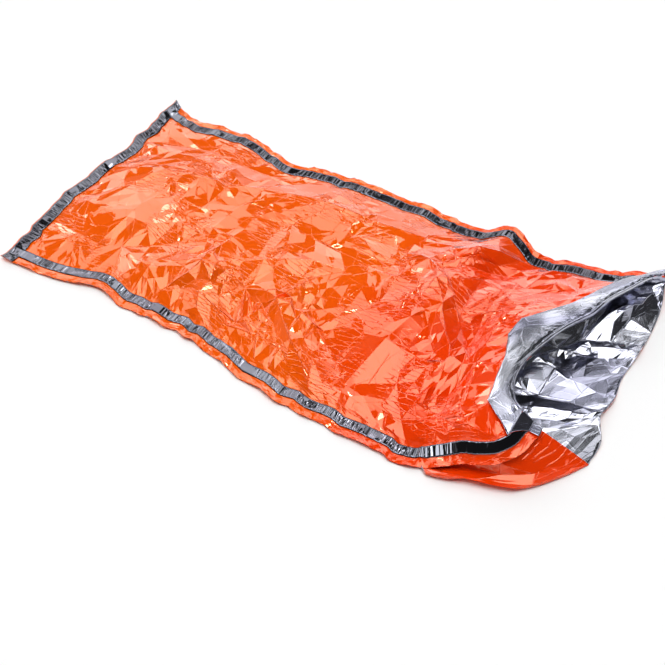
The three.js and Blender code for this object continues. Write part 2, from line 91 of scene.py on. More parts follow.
class Table:
    """A short table with named columns, read as smooth curves along its first column."""

    def __init__(self, columns: str, rows: Sequence[Sequence[float]]) -> None:
        """Keeps the rows by column.

        Args:
            columns: the column names, parted by spaces; the first one is the key.
            rows: one sequence of numbers for each row.
        """
        names = columns.split()
        values = np.array(rows, float)
        self.column = {name: values[:, i] for i, name in enumerate(names)}
        self.key = self.column[names[0]]

    def at(self, name: str, where: Array | float) -> Array:
        """Reads one column.

        Args:
            name: the column.
            where: values of the key.

        Returns:
            The curve's value at each of them.
        """
        x, y = self.key, self.column[name]
        last = len(x) - 1
        where = np.asarray(where, float)
        i = np.searchsorted(x[1:last], where, side="left")
        low, high = np.maximum(np.arange(last + 1) - 1, 0), np.minimum(np.arange(last + 1) + 1, last)
        slope = (y[high] - y[low]) / (x[high] - x[low])
        span = x[i + 1] - x[i]
        s = np.clip((where - x[i]) / span, 0, 1)
        bend = s * s * (3 - 2 * s)
        leave = span * slope[i] * s * (1 - s) ** 2
        arrive = span * slope[i + 1] * s * s * (1 - s)
        return y[i] * (1 - bend) + y[i + 1] * bend + leave - arrive


CUT_EDGE = {
    Edge.NEAR: Table("along x y z tilt", [
        (0, -20, -14, 3, -2.6), (120, 100, -16, 1, -0.9), (225, 205, -6, 0, 0),
        (290, 270, 8, 3, 0), (355, 335, 25, 6, -3), (425, 405, 17, 2, 0), (490, 470, 2, 0, 0),
        (620, 600, 3, 2, 0), (760, 740, -10, 1, 0), (930, 910, -50, 0, 0),
        (1070, 1050, -76, 2, 0), (1220, 1200, -91, 0, 0), (1360, 1340, -94, 2, 0),
        (1500, 1480, -102, 0, 0), (1550, 1530, -101, 4, 4), (1580, 1560, -93, 6, 8),
        (1645, 1622, -60, 13, 22), (1720, 1690, -24, 33, 38), (1795, 1760, 2, 60, 40),
        (1840, 1804, 48, 72, 36), (1880, 1822, 106, 78, 28), (1912, 1822, 152, 80, 23)]),
    Edge.FAR: Table("along x y z tilt", [
        (0, -6, 978, 9, -8.9), (55, 48, 948, 4, -4), (120, 110, 925, 1, -1),
        (170, 160, 919, 2, 0), (310, 300, 941, 1, 0), (420, 410, 932, 2, 0),
        (560, 550, 885, 4, 0), (650, 640, 894, 1, 0), (870, 860, 918, 3, 0),
        (1060, 1050, 916, 1, 0), (1260, 1250, 899, 3, 0), (1325, 1315, 894, 8, 2),
        (1380, 1365, 900, 26, 5), (1435, 1415, 912, 44, 2), (1490, 1465, 900, 32, -4),
        (1540, 1512, 882, 10, -3), (1600, 1570, 880, 3, 0), (1690, 1660, 906, 4, 0),
        (1800, 1765, 922, 9, 3), (1900, 1862, 940, 25, 8), (2000, 1950, 974, 50, 10)]),
}
FOOT_EDGE = Table("y x", [
    (-14, -20), (120, -27), (300, -46), (450, -37), (590, -22), (655, -7), (720, -16),
    (800, -7), (900, -21), (978, -6)])
CROWN = Table("u height", [
    (0, 0), (0.05, 24), (0.13, 38), (0.3, 43), (0.5, 45), (0.66, 48), (0.76, 54), (0.86, 58),
    (0.94, 34), (1, 0)])
NEAR_WALL = Table("along under x y belly tuck", [
    (1500, -32, 1480, 62, 32, 0), (1550, 6, 1536, -20, 12, 0.6), (1580, 38, 1566, -84, 22, 0.9),
    (1645, 60, 1622, -84, 46, 1), (1720, 68, 1696, -42, 52, 1), (1795, 70, 1788, -17, 48, 1),
    (1840, 72, 1866, 18, 42, 1), (1880, 76, 1930, 86, 28, 1), (1912, 80, 1972, 162, 16, 1)])
CUFF = Table("t foldX foldY foldZ edgeX edgeY edgeZ", [
    (0, 1762, 137, 105, 1756, 54, 117), (0.035, 1740, 160, 105, 1716, 86, 124),
    (0.08, 1712, 190, 104, 1672, 118, 117), (0.15, 1690, 250, 105, 1636, 188, 118),
    (0.24, 1692, 330, 106, 1654, 256, 124), (0.34, 1710, 412, 107, 1624, 340, 120),
    (0.44, 1742, 506, 106, 1604, 438, 117), (0.55, 1790, 598, 104, 1640, 504, 119),
    (0.66, 1818, 686, 101, 1710, 586, 119), (0.77, 1856, 770, 94, 1752, 664, 112),
    (0.88, 1888, 850, 80, 1790, 758, 96), (1, 1930, 919, 60, 1832, 842, 66)])
LOWER_LIP = Table("t x y z", [
    (0, 1972, 166, 0), (0.12, 1976, 250, 5), (0.22, 1944, 325, 13), (0.34, 1956, 410, 6),
    (0.48, 1948, 510, 2), (0.62, 1960, 625, 9), (0.78, 1964, 750, 3), (0.9, 1956, 850, 16),
    (1, 1930, 919, 60)])
FAR_REACH = np.array([(1866, 898, 66), (1898, 938, 64)], float)

# Main folds: x0, y0, x1, y1, half width, height.
TOP_FOLDS = [
    (1250, 590, 1500, 262, 90, 19), (1505, 430, 1545, 100, 95, -28),
    (1285, 600, 1490, 705, 80, -15), (1300, 690, 1560, 810, 85, 14),
    (1600, 640, 1740, 760, 90, -12), (905, 230, 1150, 0, 85, 14), (905, 230, 760, 60, 85, -11),
    (1010, 260, 1240, 60, 85, -10), (620, 245, 400, 140, 85, 12), (620, 245, 700, 60, 85, 11),
    (640, 300, 920, 430, 90, 9), (220, 190, 560, 330, 90, -9), (130, 560, 520, 640, 90, 11),
    (240, 780, 640, 770, 90, -9), (720, 700, 1180, 720, 90, 10), (760, 560, 1180, 500, 90, -8)]
UNDER_FOLDS = [
    (1700, 240, 1960, 330, 60, 16), (1760, 430, 1950, 400, 55, 10),
    (1800, 560, 1960, 625, 60, 14), (1830, 700, 1900, 800, 55, 15),
    (1640, 390, 1735, 660, 75, 42), (1735, 660, 1830, 800, 70, 34),
    (1850, 700, 1905, 830, 55, 28)]


def ease(share: Array | float) -> Array:
    """A smooth step from 0 to 1.

    Args:
        share: where along the step.

    Returns:
        The eased share.
    """
    share = np.clip(share, 0, 1)
    return share * share * (3 - 2 * share)


def ramp(at: Array, span: tuple[float, float]) -> Array:
    """A smooth step from 0 to 1 that has its start at span[0] and takes span[1]."""
    return ease((at - span[0]) / span[1])


def mix(a: Array, b: Array, share: Array) -> Array:
    """Blends rows of points.

    Args:
        a: points at share 0.
        b: points at share 1.
        share: one number for each point.

    Returns:
        The blended points.
    """
    share = np.asarray(share)[..., None]
    return a * (1 - share) + b * share


def unit(v: Array) -> Array:
    """Scales rows of vectors to length 1.

    Args:
        v: the vectors.

    Returns:
        Unit vectors.
    """
    return v / np.maximum(np.linalg.norm(v, axis=-1, keepdims=True), 1e-9)


def near_end(t: Array, margin: float) -> Array:
    """Fades from 0 at both ends of a 0 to 1 range.

    Args:
        t: where in the range.
        margin: share of the range that the fade takes.

    Returns:
        The fade.
    """
    return np.clip(np.minimum(t / margin, (1 - t) / margin), 0, 1)


def fold_height(folds: Sequence[Sequence[float]], x: Array, y: Array) -> Array:
    """Adds up the main folds over the ground plan.

    Args:
        folds: rows of x0, y0, x1, y1, half width and height.
        x: places along the bag.
        y: places across it.

    Returns:
        The height at each place.
    """
    total = np.zeros_like(x)
    for x0, y0, x1, y1, width, height in folds:
        run_x, run_y = x1 - x0, y1 - y0
        length = math.hypot(run_x, run_y)
        along = ((x - x0) * run_x + (y - y0) * run_y) / length
        off = np.abs((x - x0) * run_y - (y - y0) * run_x) / length
        past = np.maximum(np.maximum(-along, along - length), 0)
        total += height * (1 - ease(np.hypot(off, past) / width))
    return total


FACET_WIDTHS = (0.5, 1.0, 2.2)  # how a gather's width varies


@dataclass
class Ruffle:
    """The small gathers that a taped seam has: straight facets of uneven width across it.

    Args:
        seed: fixes the random numbers.
        length: of the seam.
        step: least and greatest width of a facet.
        height: of the gathers.
        steep: least and greatest slope of a facet, in degrees.
        overrun: how far the gathers go on past both ends.
    """

    seed: int
    length: float
    step: tuple[float, float]
    height: float
    steep: tuple[float, float] = (3.0, 10.0)
    overrun: float = 60.0

    def __post_init__(self) -> None:
        """Sets out the gathers."""
        rng = np.random.default_rng(self.seed)
        knots, heights = [-self.overrun], [0.0]
        while knots[-1] < self.length + self.overrun:
            width = rng.uniform(*self.step) * rng.choice(FACET_WIDTHS)
            slope = rng.uniform(*self.steep) * rng.choice([-1, 1])
            knots.append(knots[-1] + width)
            rise = width * math.tan(math.radians(slope))
            up = heights[-1] + rise
            kept = up if 0 <= up <= self.height else heights[-1] - rise
            heights.append(float(np.clip(kept, 0, self.height)))
        self.knots, self.heights = np.array(knots), np.array(heights)

    def at(self, along: Array) -> Array:
        """Reads the gathers.

        Args:
            along: distances along the seam.

        Returns:
            Heights, never below 0.
        """
        return np.interp(along, self.knots, self.heights)


@dataclass(frozen=True)
class Kink:
    """How a cut edge strays from its line.

    Args:
        line: how the whole seam strays on the ground.
        margin: how the bare margin outside the tape stands up.
    """

    line: Ruffle
    margin: Ruffle


KINKS = {
    Edge.NEAR: Kink(Ruffle(21, 2000, (14, 50), 11, (6, 26)), Ruffle(22, 2000, (8, 26), 9, (8, 28))),
    Edge.FAR: Kink(Ruffle(23, 2060, (14, 50), 10, (6, 26)), Ruffle(24, 2060, (8, 26), 8, (8, 28))),
    Edge.FOOT: Kink(Ruffle(25, 1060, (12, 45), 11, (6, 30)), Ruffle(26, 1060, (16, 50), 3)),
}
RUFFLE = {
    Edge.NEAR: Ruffle(11, SEAM_LENGTH[Edge.NEAR], (7, 22), 2.6),
    Edge.FAR: Ruffle(12, SEAM_LENGTH[Edge.FAR], (7, 22), 2.6),
    Edge.FOOT: Ruffle(13, BAG_WIDTH, (9, 30), 2.2),
}


@dataclass
class Seam:
    """One of the long seams in its lying shape.

    Args:
        edge: the near or the far one.
        foot_reach: how far it follows the bend of the foot edge.
        foot_calm: how far it doesn't stray yet.
        swing: where the near one starts to swing round, and in what length.
        tangent_step: distance over which its direction is taken.
        margin_bend: power by which the margin's gathers grow outwards.
    """

    edge: Edge
    foot_reach: float = 160.0
    foot_calm: float = 90.0
    swing: tuple[float, float] = (1500.0, 120.0)
    tangent_step: float = 12.0
    margin_bend: float = 1.5

    def __post_init__(self) -> None:
        """Looks up the seam's table and which way is into the bag."""
        self.rows = CUT_EDGE[self.edge]
        self.turn = 1 if self.edge is Edge.NEAR else -1

    def place(self, along: Array) -> Array:
        """Points of the cut edge.

        Args:
            along: distances from the foot corner.

        Returns:
            One point for each.
        """
        x, y, z = (self.rows.at(c, along) for c in ("x", "y", "z"))
        return np.stack([x, y, np.maximum(z, 0)], -1)

    def axes(self, along: Array) -> tuple[Array, Array, Array]:
        """Directions of the seam.

        Args:
            along: distances from the foot corner.

        Returns:
            The direction across to the weld line, the level one into the bag, and the normal.
        """
        run = unit(self.place(along + self.tangent_step) - self.place(along - self.tangent_step))
        swing = 0 * along
        if self.edge is Edge.NEAR:
            swing = ramp(along, self.swing)
        tilt = np.radians(self.rows.at("tilt", along))
        flat = np.zeros_like(along)
        inward = unit(np.stack([-run[..., 1] * self.turn * swing, run[..., 0] * self.turn, flat], -1))
        across = inward * np.cos(tilt)[..., None]
        across[..., 2] = np.sin(tilt)
        up = unit(np.cross(run, across) * self.turn)
        return across, inward, up

    def point(self, along: Array, inset: Array) -> Array:
        """Points of the seam.

        Args:
            along: distances from the foot corner.
            inset: distances in from the cut edge.

        Returns:
            One point for each.
        """
        across, inward, _ = self.axes(along)
        point = self.place(along) + across * np.asarray(inset)[..., None]
        line = KINKS[self.edge].line
        stray = line.at(along) - line.height / 2
        point = point + inward * (stray * ease(along / self.foot_calm))[..., None]
        corner = FOOT_EDGE.column["x"][0 if self.edge is Edge.NEAR else -1]
        sag = FOOT_EDGE.at("x", point[..., 1]) - corner
        point[..., 0] += sag * (1 - ease(along / self.foot_reach))
        point[..., 2] = np.maximum(point[..., 2], 0)
        return point

    def along(self, u: Array) -> Array:
        """Distances along the cut edge.

        Args:
            u: 0 at the foot's weld line and 1 at the mouth.

        Returns:
            Millimetres from the foot corner.
        """
        return FOOT_SEAM + u * (SEAM_LENGTH[self.edge] - FOOT_SEAM)

    def weld(self, u: Array) -> Array:
        """Points of the weld line.

        Args:
            u: 0 at the foot's weld line and 1 at the mouth.

        Returns:
            One point for each.
        """
        along = self.along(u)
        return self.point(along, np.full_like(along, SIDE_SEAM[self.edge]))

    def strip(self, along: Array, inset: Array, height: float) -> Array:
        """Points of a layer of the seam.

        Args:
            along: distances from the foot corner.
            inset: distances in from the cut edge.
            height: of the layer over the under sheet's lower face.

        Returns:
            One point for each.
        """
        _, _, up = self.axes(along)
        loose = np.clip(1 - inset / SIDE_MARGIN[self.edge], 0, 1) ** self.margin_bend
        lift = RUFFLE[self.edge].at(along) + KINKS[self.edge].margin.at(along) * loose
        return self.point(along, inset) + up * (height + lift)[..., None]


NEAR, FAR = Seam(Edge.NEAR), Seam(Edge.FAR)


def patch(near: Array, far: Array, foot: Array, mouth: Array, corners: Sequence[Array],
          u: Array, t: Array) -> Array:
    """A surface between four curves.

    Args:
        near: points of the near curve at u.
        far: points of the far curve at u.
        foot: points of the foot curve at t.
        mouth: points of the mouth curve at t.
        corners: near foot, far foot, near mouth and far mouth corner.
        u: along the bag.
        t: across it.

    Returns:
        Points of the surface.
    """
    foot_line = mix(corners[0], corners[1], t)
    mouth_line = mix(corners[2], corners[3], t)
    return mix(near, far, t) + mix(foot, mouth, u) - mix(foot_line, mouth_line, u)


def foot_line(start: Array, end: Array, t: Array, inset: Array | float) -> Array:
    """Points of a line along the foot edge.

    Args:
        start: its near end.
        end: its far end.
        t: across the bag.
        inset: in from the foot's cut edge.

    Returns:
        One point for each.
    """
    point = mix(start, end, t)
    line = KINKS[Edge.FOOT].line
    stray = line.at(point[..., 1]) - line.height / 2
    drawn = FOOT_EDGE.at("x", point[..., 1]) + inset + stray
    share = near_end(t, FOOT_CORNER)
    point[..., 0] = point[..., 0] * (1 - share) + drawn * share
    return point


def seams(chart: "TopChart | UnderChart", point: Array, s: Array, w: Array, u: Array,
          height: float) -> Array:
    """Puts the points of a sheet that are in its seams.

    Args:
        chart: of the sheet.
        point: the sheet's points, changed in place.
        s: distances from the foot.
        w: distances from the near edge.
        u: along the bag.
        height: of the sheet over the under sheet's lower face.

    Returns:
        The points.
    """
    foot = s < FOOT_SEAM
    if foot.any():
        point[foot] = chart.foot(s[foot], w[foot])
    for seam, inset in ((NEAR, w), (FAR, BAG_WIDTH - w)):
        inside = inset < SIDE_SEAM[seam.edge]
        if inside.any():
            along = np.where(foot, s, seam.along(u))[inside]
            point[inside] = seam.strip(along, inset[inside], height)
    return point


@dataclass(frozen=True)
class TopChart:
    """Places the flat cut of the top sheet: s runs from the foot, w from the near cut edge.

    Args:
        flap_length: of the film that is turned back at the mouth.
        cuff_radius: of the round fold there.
        far_rounding: how much of that radius is left at the far seam.
        hem_radius: of the fold on the near seam.
        hem_length: of the turned-back film there.
        sag: how far the flap arches up.
        curl: how far its free edge turns up.
        curl_from: share of the flap where that starts.
        shoulder: power that makes the crown broad.
        side_fade: share of the width in which the main folds start.
        foot_fade: share of the length in which they do at the foot.
        mouth_fade: and at the mouth.
        gather_fade: how far a seam's gathers run into the sheet.
    """

    flap_length: float = 150.0
    cuff_radius: float = 9.0
    far_rounding: float = 0.7
    hem_radius: float = 3.2
    hem_length: float = 38.0
    sag: float = 6.0
    curl: float = 5.0
    curl_from: float = 0.92
    shoulder: float = 2.3
    side_fade: float = 0.12
    foot_fade: float = 0.05
    mouth_fade: float = 0.07
    gather_fade: float = 80.0

    @property
    def length(self) -> float:
        """Length of the flat cut."""
        return TURN_END + self.flap_length

    @property
    def lines_s(self) -> tuple[float, ...]:
        """Lines across the cut that no facet crosses."""
        return (0.0, FOOT_SEAM, MOUTH_AT, TURN_MIDDLE, TURN_END,
                self.length)

    @property
    def lines_w(self) -> tuple[float, ...]:
        """Lines along the cut that no facet crosses."""
        return (0.0, SIDE_MARGIN[Edge.NEAR], NEAR_WELD, FAR_WELD,
                BAG_WIDTH - SIDE_MARGIN[Edge.FAR], BAG_WIDTH)

    def share(self, w: Array) -> Array:
        """Share of the way between the weld lines.

        Args:
            w: places on the cut.

        Returns:
            0 at the near weld line and 1 at the far one.
        """
        return np.clip((w - NEAR_WELD) / (FAR_WELD - NEAR_WELD), 0, 1)

    def body(self, u: Array, w: Array) -> Array:
        """The sheet between the foot's weld line and the mouth.

        Args:
            u: along the bag.
            w: places across the cut.

        Returns:
            Points.
        """
        t = self.share(w)
        zero, one = np.zeros_like(u), np.ones_like(u)
        corners = [NEAR.weld(zero), FAR.weld(zero), NEAR.weld(one), FAR.weld(one)]
        table = np.stack([CUFF.at(c, t) for c in ("foldX", "foldY", "foldZ")], -1)
        mouth = mix(mix(corners[2], corners[3], t), table, near_end(t, MOUTH_CORNER))
        foot = foot_line(corners[0], corners[1], t, FOOT_SEAM)
        point = patch(NEAR.weld(u), FAR.weld(u), foot, mouth, corners, u, t)
        crown = CROWN.at("height", u) * (1 - np.abs(2 * t - 1) ** self.shoulder)
        hold = ease(np.minimum(t, 1 - t) / self.side_fade) * ease(u / self.foot_fade)
        hold = hold * ease((1 - u) / self.mouth_fade)
        folds = fold_height(TOP_FOLDS, point[..., 0], point[..., 1])
        near_gather, far_gather, foot_gather = (
            RUFFLE[edge].at(along) * np.exp(-off / self.gather_fade) for edge, along, off in (
                (Edge.NEAR, NEAR.along(u), w - NEAR_WELD),
                (Edge.FAR, FAR.along(u), FAR_WELD - w),
                (Edge.FOOT, w, u * (MOUTH_AT - FOOT_SEAM))))
        point[..., 2] += LIFT + crown + hold * folds + near_gather + far_gather + foot_gather
        return point

    def foot(self, s: Array, w: Array) -> Array:
        """The sheet in the foot seam.

        Args:
            s: distances from the foot.
            w: places across the cut.

        Returns:
            Points.
        """
        start = NEAR.strip(s, np.full_like(s, NEAR_WELD), LIFT)
        end = FAR.strip(s, np.full_like(s, SIDE_SEAM[Edge.FAR]), LIFT)
        point = foot_line(start, end, self.share(w), s)
        point[..., 2] += RUFFLE[Edge.FOOT].at(w)
        return point

    def cuff(self, s: Array, w: Array) -> Array:
        """The turned-back end of the sheet.

        Args:
            s: distances from the foot, past the mouth's fold.
            w: places across the cut.

        Returns:
            Points.
        """
        t = self.share(w)
        base = self.main(np.full_like(s, MOUTH_AT), w)
        edge = np.stack([CUFF.at(c, t) for c in ("edgeX", "edgeY", "edgeZ")], -1)
        tape_edge = BAG_WIDTH - SIDE_MARGIN[Edge.FAR]
        reach = mix(FAR_REACH[0], FAR_REACH[1], np.clip((w - tape_edge) / SIDE_MARGIN[Edge.FAR], 0, 1))
        edge = mix(edge, reach, np.clip((w - FAR_WELD) / (tape_edge - FAR_WELD), 0, 1))
        heading = base - edge
        heading[..., 2] = 0
        heading = unit(heading)
        far = ease((w - FAR_WELD) / (tape_edge - FAR_WELD))
        radius = self.cuff_radius * (1 - far + far * self.far_rounding)
        angle = np.clip((s - MOUTH_AT) / TURN_LENGTH, 0, 1) * math.pi
        up = np.array([0.0, 0.0, 1.0])
        point = base + heading * (radius * np.sin(angle))[..., None]
        point = point + up * (radius * (1 - np.cos(angle)))[..., None]
        share = np.clip((s - TURN_END) / self.flap_length, 0, 1)
        curled = ease((share - self.curl_from) / (1 - self.curl_from)) * (1 - far)
        point = mix(point, edge, share) + up * (self.sag * share * (1 - share))[..., None]
        point = point + up * (self.curl * curled)[..., None]

        along = np.full_like(s, SEAM_LENGTH[Edge.NEAR])
        _, inward, seam_up = NEAR.axes(along)
        out = np.stack([inward[..., 1], -inward[..., 0], 0 * along], -1)
        hem = base + out * (self.hem_radius * np.sin(angle))[..., None]
        hem = hem + seam_up * (self.hem_radius * (1 - np.cos(angle)))[..., None]
        hem = hem - out * (self.hem_length * share)[..., None]
        start = SIDE_MARGIN[Edge.NEAR]
        return mix(hem, point, np.clip((w - start) / (NEAR_WELD - start), 0, 1))

    def main(self, s: Array, w: Array) -> Array:
        """The sheet up to the mouth's fold.

        Args:
            s: distances from the foot.
            w: places across the cut.

        Returns:
            Points.
        """
        u = np.clip((s - FOOT_SEAM) / (MOUTH_AT - FOOT_SEAM), 0, 1)
        point = self.body(u, np.clip(w, NEAR_WELD, FAR_WELD))
        return seams(self, point, s, w, u, LIFT)

    def place(self, s: Array, w: Array) -> Array:
        """Puts points of the flat cut where they lie.

        Args:
            s: distances from the foot.
            w: distances from the near edge.

        Returns:
            Points in the bag frame.
        """
        point = self.main(s, w)
        past = s > MOUTH_AT
        if past.any():
            point[past] = self.cuff(s[past], w[past])
        return point


@dataclass(frozen=True)
class UnderChart:
    """Places the flat cut of the under sheet, with its near wall folded in under the seam.

    Args:
        length: of the flat cut.
        tuck: how far the wall starts below the weld line.
        fold_tip: width of the small fold that turns it under.
        wall_landing: how far in it lands where the bag is flat.
        side_fade: share of the width in which the main folds start.
        folds: shares of the length where they start, and in which they grow.
        lip_from: share of the length where the lower lip's shape starts.
        lip_folds: share of the main folds that is lost there.
        climb_from: share of the width where the climb to the far seam starts.
        gather_fade: how far the near gathers run down the wall.
    """

    length: float = MOUTH_AT
    tuck: float = 4.5
    fold_tip: float = 3.0
    wall_landing: float = 99.0
    side_fade: float = 0.1
    folds: tuple[float, float] = (0.8, 0.08)
    lip_from: float = 0.93
    lip_folds: float = 0.5
    climb_from: float = 0.86
    gather_fade: float = 40.0

    @property
    def wall_from(self) -> float:
        """Where on the cut the near wall starts."""
        return NEAR_WELD + 2 * self.fold_tip

    @property
    def wall_to(self) -> float:
        """Where on the cut it meets the ground."""
        return self.wall_from + WALL_WIDTH

    @property
    def lines_s(self) -> tuple[float, ...]:
        """Lines across the cut that no facet crosses."""
        return (0.0, FOOT_SEAM, self.length)

    @property
    def lines_w(self) -> tuple[float, ...]:
        """Lines along the cut that no facet crosses."""
        return (0.0, SIDE_MARGIN[Edge.NEAR], NEAR_WELD, NEAR_WELD + self.fold_tip,
                self.wall_from, self.wall_to, FAR_WELD, BAG_WIDTH)

    def landing(self, u: Array) -> Array:
        """Where the near wall meets the ground.

        Args:
            u: along the bag.

        Returns:
            Points.
        """
        along = NEAR.along(u)
        flat = NEAR.weld(u) + np.array([0.0, self.wall_landing, 0.0])
        flat[..., 2] = 0
        stand = np.stack([NEAR_WALL.at("x", along), NEAR_WALL.at("y", along), 0 * along], -1)
        return np.where((along <= NEAR_WALL.key[0])[..., None], flat, stand)

    def floor(self, u: Array, t: Array) -> Array:
        """The sheet on the ground.

        Args:
            u: along the bag.
            t: from the near wall to the far weld line.

        Returns:
            Points.
        """
        zero, one = np.zeros_like(u), np.ones_like(u)
        corners = [self.landing(zero), FAR.weld(zero), self.landing(one), FAR.weld(one)]
        table = np.stack([LOWER_LIP.at(c, t) for c in ("x", "y", "z")], -1)
        mouth = mix(mix(corners[2], corners[3], t), table, near_end(t, MOUTH_CORNER))
        foot = foot_line(corners[0], corners[1], t, FOOT_SEAM)
        far = FAR.weld(u)
        point = patch(self.landing(u), far, foot, mouth, corners, u, t)
        at_lip = ease((u - self.lip_from) / (1 - self.lip_from))
        at_far = ease((t - self.climb_from) / (1 - self.climb_from))
        rest = np.maximum(at_far * far[..., 2], (1 - at_far) * at_lip * mouth[..., 2])
        hold = ease(np.minimum(t, 1 - t) / self.side_fade)
        hold = hold * ramp(u, self.folds) * (1 - self.lip_folds * at_lip)
        point[..., 2] = rest + hold * fold_height(UNDER_FOLDS, point[..., 0], point[..., 1])
        return point

    def wall(self, u: Array, w: Array) -> Array:
        """The near wall, from under the seam's weld line down to the ground.

        Args:
            u: along the bag.
            w: places across the cut.

        Returns:
            Points.
        """
        along = NEAR.along(u)
        across, inward, up = NEAR.axes(along)
        weld, ground = NEAR.weld(u), self.landing(u)
        read = {c: NEAR_WALL.at(c, np.maximum(along, NEAR_WALL.key[0]))[..., None]
                for c in ("under", "belly", "tuck")}
        under = up * read["tuck"] * self.tuck
        start = weld - under + inward * 2 * self.fold_tip * (1 - read["tuck"])
        tip = weld - under / 2 + inward * self.fold_tip
        q = np.clip((w - self.wall_from) / WALL_WIDTH, 0, 1)[..., None]
        second = start - across * read["under"]
        third = ground - inward * read["belly"]
        point = (start * (1 - q) ** 3 + 3 * second * q * (1 - q) ** 2
                 + 3 * third * q * q * (1 - q) + ground * q ** 3)
        turned = np.clip((w - NEAR_WELD) / self.fold_tip, 0, 2)
        fold = mix(mix(weld, tip, np.minimum(turned, 1)), start, np.maximum(turned - 1, 0))
        point = np.where((w < self.wall_from)[..., None], fold, point)
        off = w - NEAR_WELD
        gather = RUFFLE[Edge.NEAR].at(along) * np.exp(-off / self.gather_fade)
        point[..., 2] = np.maximum(point[..., 2] + gather, 0)
        return point

    def foot(self, s: Array, w: Array) -> Array:
        """The sheet in the foot seam.

        Args:
            s: distances from the foot.
            w: places across the cut.

        Returns:
            Points.
        """
        start = NEAR.strip(s, np.full_like(s, NEAR_WELD), 0)
        end = FAR.strip(s, np.full_like(s, SIDE_SEAM[Edge.FAR]), 0)
        width = np.linalg.norm(end - start, axis=-1)
        landing = self.wall_landing / width
        folded = 2 * self.fold_tip / width
        tips = (w - NEAR_WELD) / width
        q = (w - self.wall_from) / WALL_WIDTH
        in_wall = folded + q * (landing - folded)
        floor = (w - self.wall_to) / (FAR_WELD - self.wall_to)
        share = np.where(w < self.wall_from, tips, np.where(
            w < self.wall_to, in_wall, landing + floor * (1 - landing)))
        point = foot_line(start, end, np.clip(share, 0, 1), s)
        point[..., 2] += RUFFLE[Edge.FOOT].at(w)
        return point

    def place(self, s: Array, w: Array) -> Array:
        """Puts points of the flat cut where they lie.

        Args:
            s: distances from the foot.
            w: distances from the near edge.

        Returns:
            Points in the bag frame.
        """
        u = np.clip((s - FOOT_SEAM) / (MOUTH_AT - FOOT_SEAM), 0, 1)
        point = self.floor(u, np.clip((w - self.wall_to) / (FAR_WELD - self.wall_to), 0, 1))
        point = np.where((w < self.wall_to)[..., None], self.wall(u, w), point)
        return seams(self, point, s, w, u, 0)


@dataclass(frozen=True)
class Crease:
    """A hard fold of the film on the ground plan.

    Args:
        line: its points, x and y in millimetres.
        height: of the fold at its highest; less than 0 is a valley.
        fade: 0 for a fold that is highest at its middle, or the power by which it falls from its
            first point to its last.
        on_cut: the points are places on the flat cut.
    """

    line: tuple[tuple[float, float], ...]
    height: float
    fade: float = 0.0
    on_cut: bool = False


@dataclass(frozen=True)
class Crumple:
    """How a sheet is crumpled.

    Args:
        seed: fixes the random numbers.
        spacing: of the largest facets' corners, in the body and near the mouth.
        slopes: spread of the facets' slopes, from the largest facets down.
        mouth_gain: how much more it is crumpled at the mouth.
        creases: hard folds with a place of their own.
        loose: number of straight creases at random.
        loose_reach: least and greatest half length of those.
        loose_rise: least and greatest height.
        loose_inset: how far their middles stay from the cut's ends and sides.
        loose_low: least place that their ends have.
        loose_high: how far the greatest is from the mouth and the far edge.
        wall_calm: share by which the near wall is smoother.
        flap_calm: and the turned-back flap.
        flap_over: length in which it gets so.
        side_fade: distance from the near weld line in which crumpling grows to full.
        seam_fade: the same for the far seam and the foot.
        in_seam: share of the crumpling in a seam.
        fold_calm: share by which the round fold is smoother.
        fold_spread: how far from it that goes.
        mouth: where mouth_gain starts along the bag, and in what length it grows.
        patch: size of the finely crushed patches: a wave is 6.3 times as long.
        crushing: least fine crumpling, and how much more there is in a patch.
        patch_edges: sums of the waves where a patch starts and is full.
    """

    seed: int
    spacing: tuple[float, float]
    slopes: tuple[float, ...]
    mouth_gain: float
    creases: tuple[Crease, ...] = ()
    loose: int = 0
    loose_reach: tuple[float, float] = (30.0, 190.0)
    loose_rise: tuple[float, float] = (1.0, 3.2)
    loose_inset: tuple[float, float] = (110.0, 130.0)
    loose_low: tuple[float, float] = (75.0, 85.0)
    loose_high: tuple[float, float] = (20.0, 75.0)
    wall_calm: float = 0.0
    flap_calm: float = 0.5
    flap_over: float = 20.0
    side_fade: float = 80.0
    seam_fade: float = 45.0
    in_seam: float = 0.06
    fold_calm: float = 0.85
    fold_spread: float = 34.0
    mouth: tuple[float, float] = (1560.0, 160.0)
    patch: tuple[float, float] = (40.0, 85.0)
    crushing: tuple[float, float] = (0.15, 1.55)
    patch_edges: tuple[float, float] = (-0.8, 1.0)


# Folds of the near wall on the flat cut: s0, w0, s1, w1, bow to the side, height.
WALL_FOLDS = [
    (1480, 92, 1956, 158, -4, 20), (1540, 168, 1956, 190, -20, -16),
    (1500, 140, 1880, 170, -13, -9), (1640, 200, 1880, 200, -17, 11), (1690, 84, 1840, 114, 6, 9)]
CREST_SHARE = 0.5  # of a main fold's height, that the crease on its crest adds
FLANK_AT = 0.5  # of its half width, where the creases down its flanks run
FLANK_SHARE = -0.12  # of its height, for those
FLANKED_FROM = 13.0  # lower folds have no flanks of their own
MEETING = 60.0  # main folds that start this near each other share a peak
PEAK_HEIGHT = 20.0
PEAK_RAYS = 9
FLANK_BOW = 0.014  # of its length, by which a fold's creases bend to the side
PEAK_REACH = (80.0, 230.0)
PEAK_BOW = 0.08  # of its length, by which a ray bends at the most
PEAK_STRAY = 0.3  # of the angle between two rays, by which each is turned
PEAK_FADES = (0.8, 2.4)  # ridges fall slowly and valleys fast
PACKET = (100.0, BAG_WIDTH / 12)  # size the bag was folded down to, along it and across it
PACKING_EDGE = 95.0  # packing folds stay this far inside the seams
PACKING_RUN = (1.5, 5.0)  # how many packets long a stretch of fold is
PACKING_HEIGHT = (1.4, 3.0)
BOW_POINTS = 5


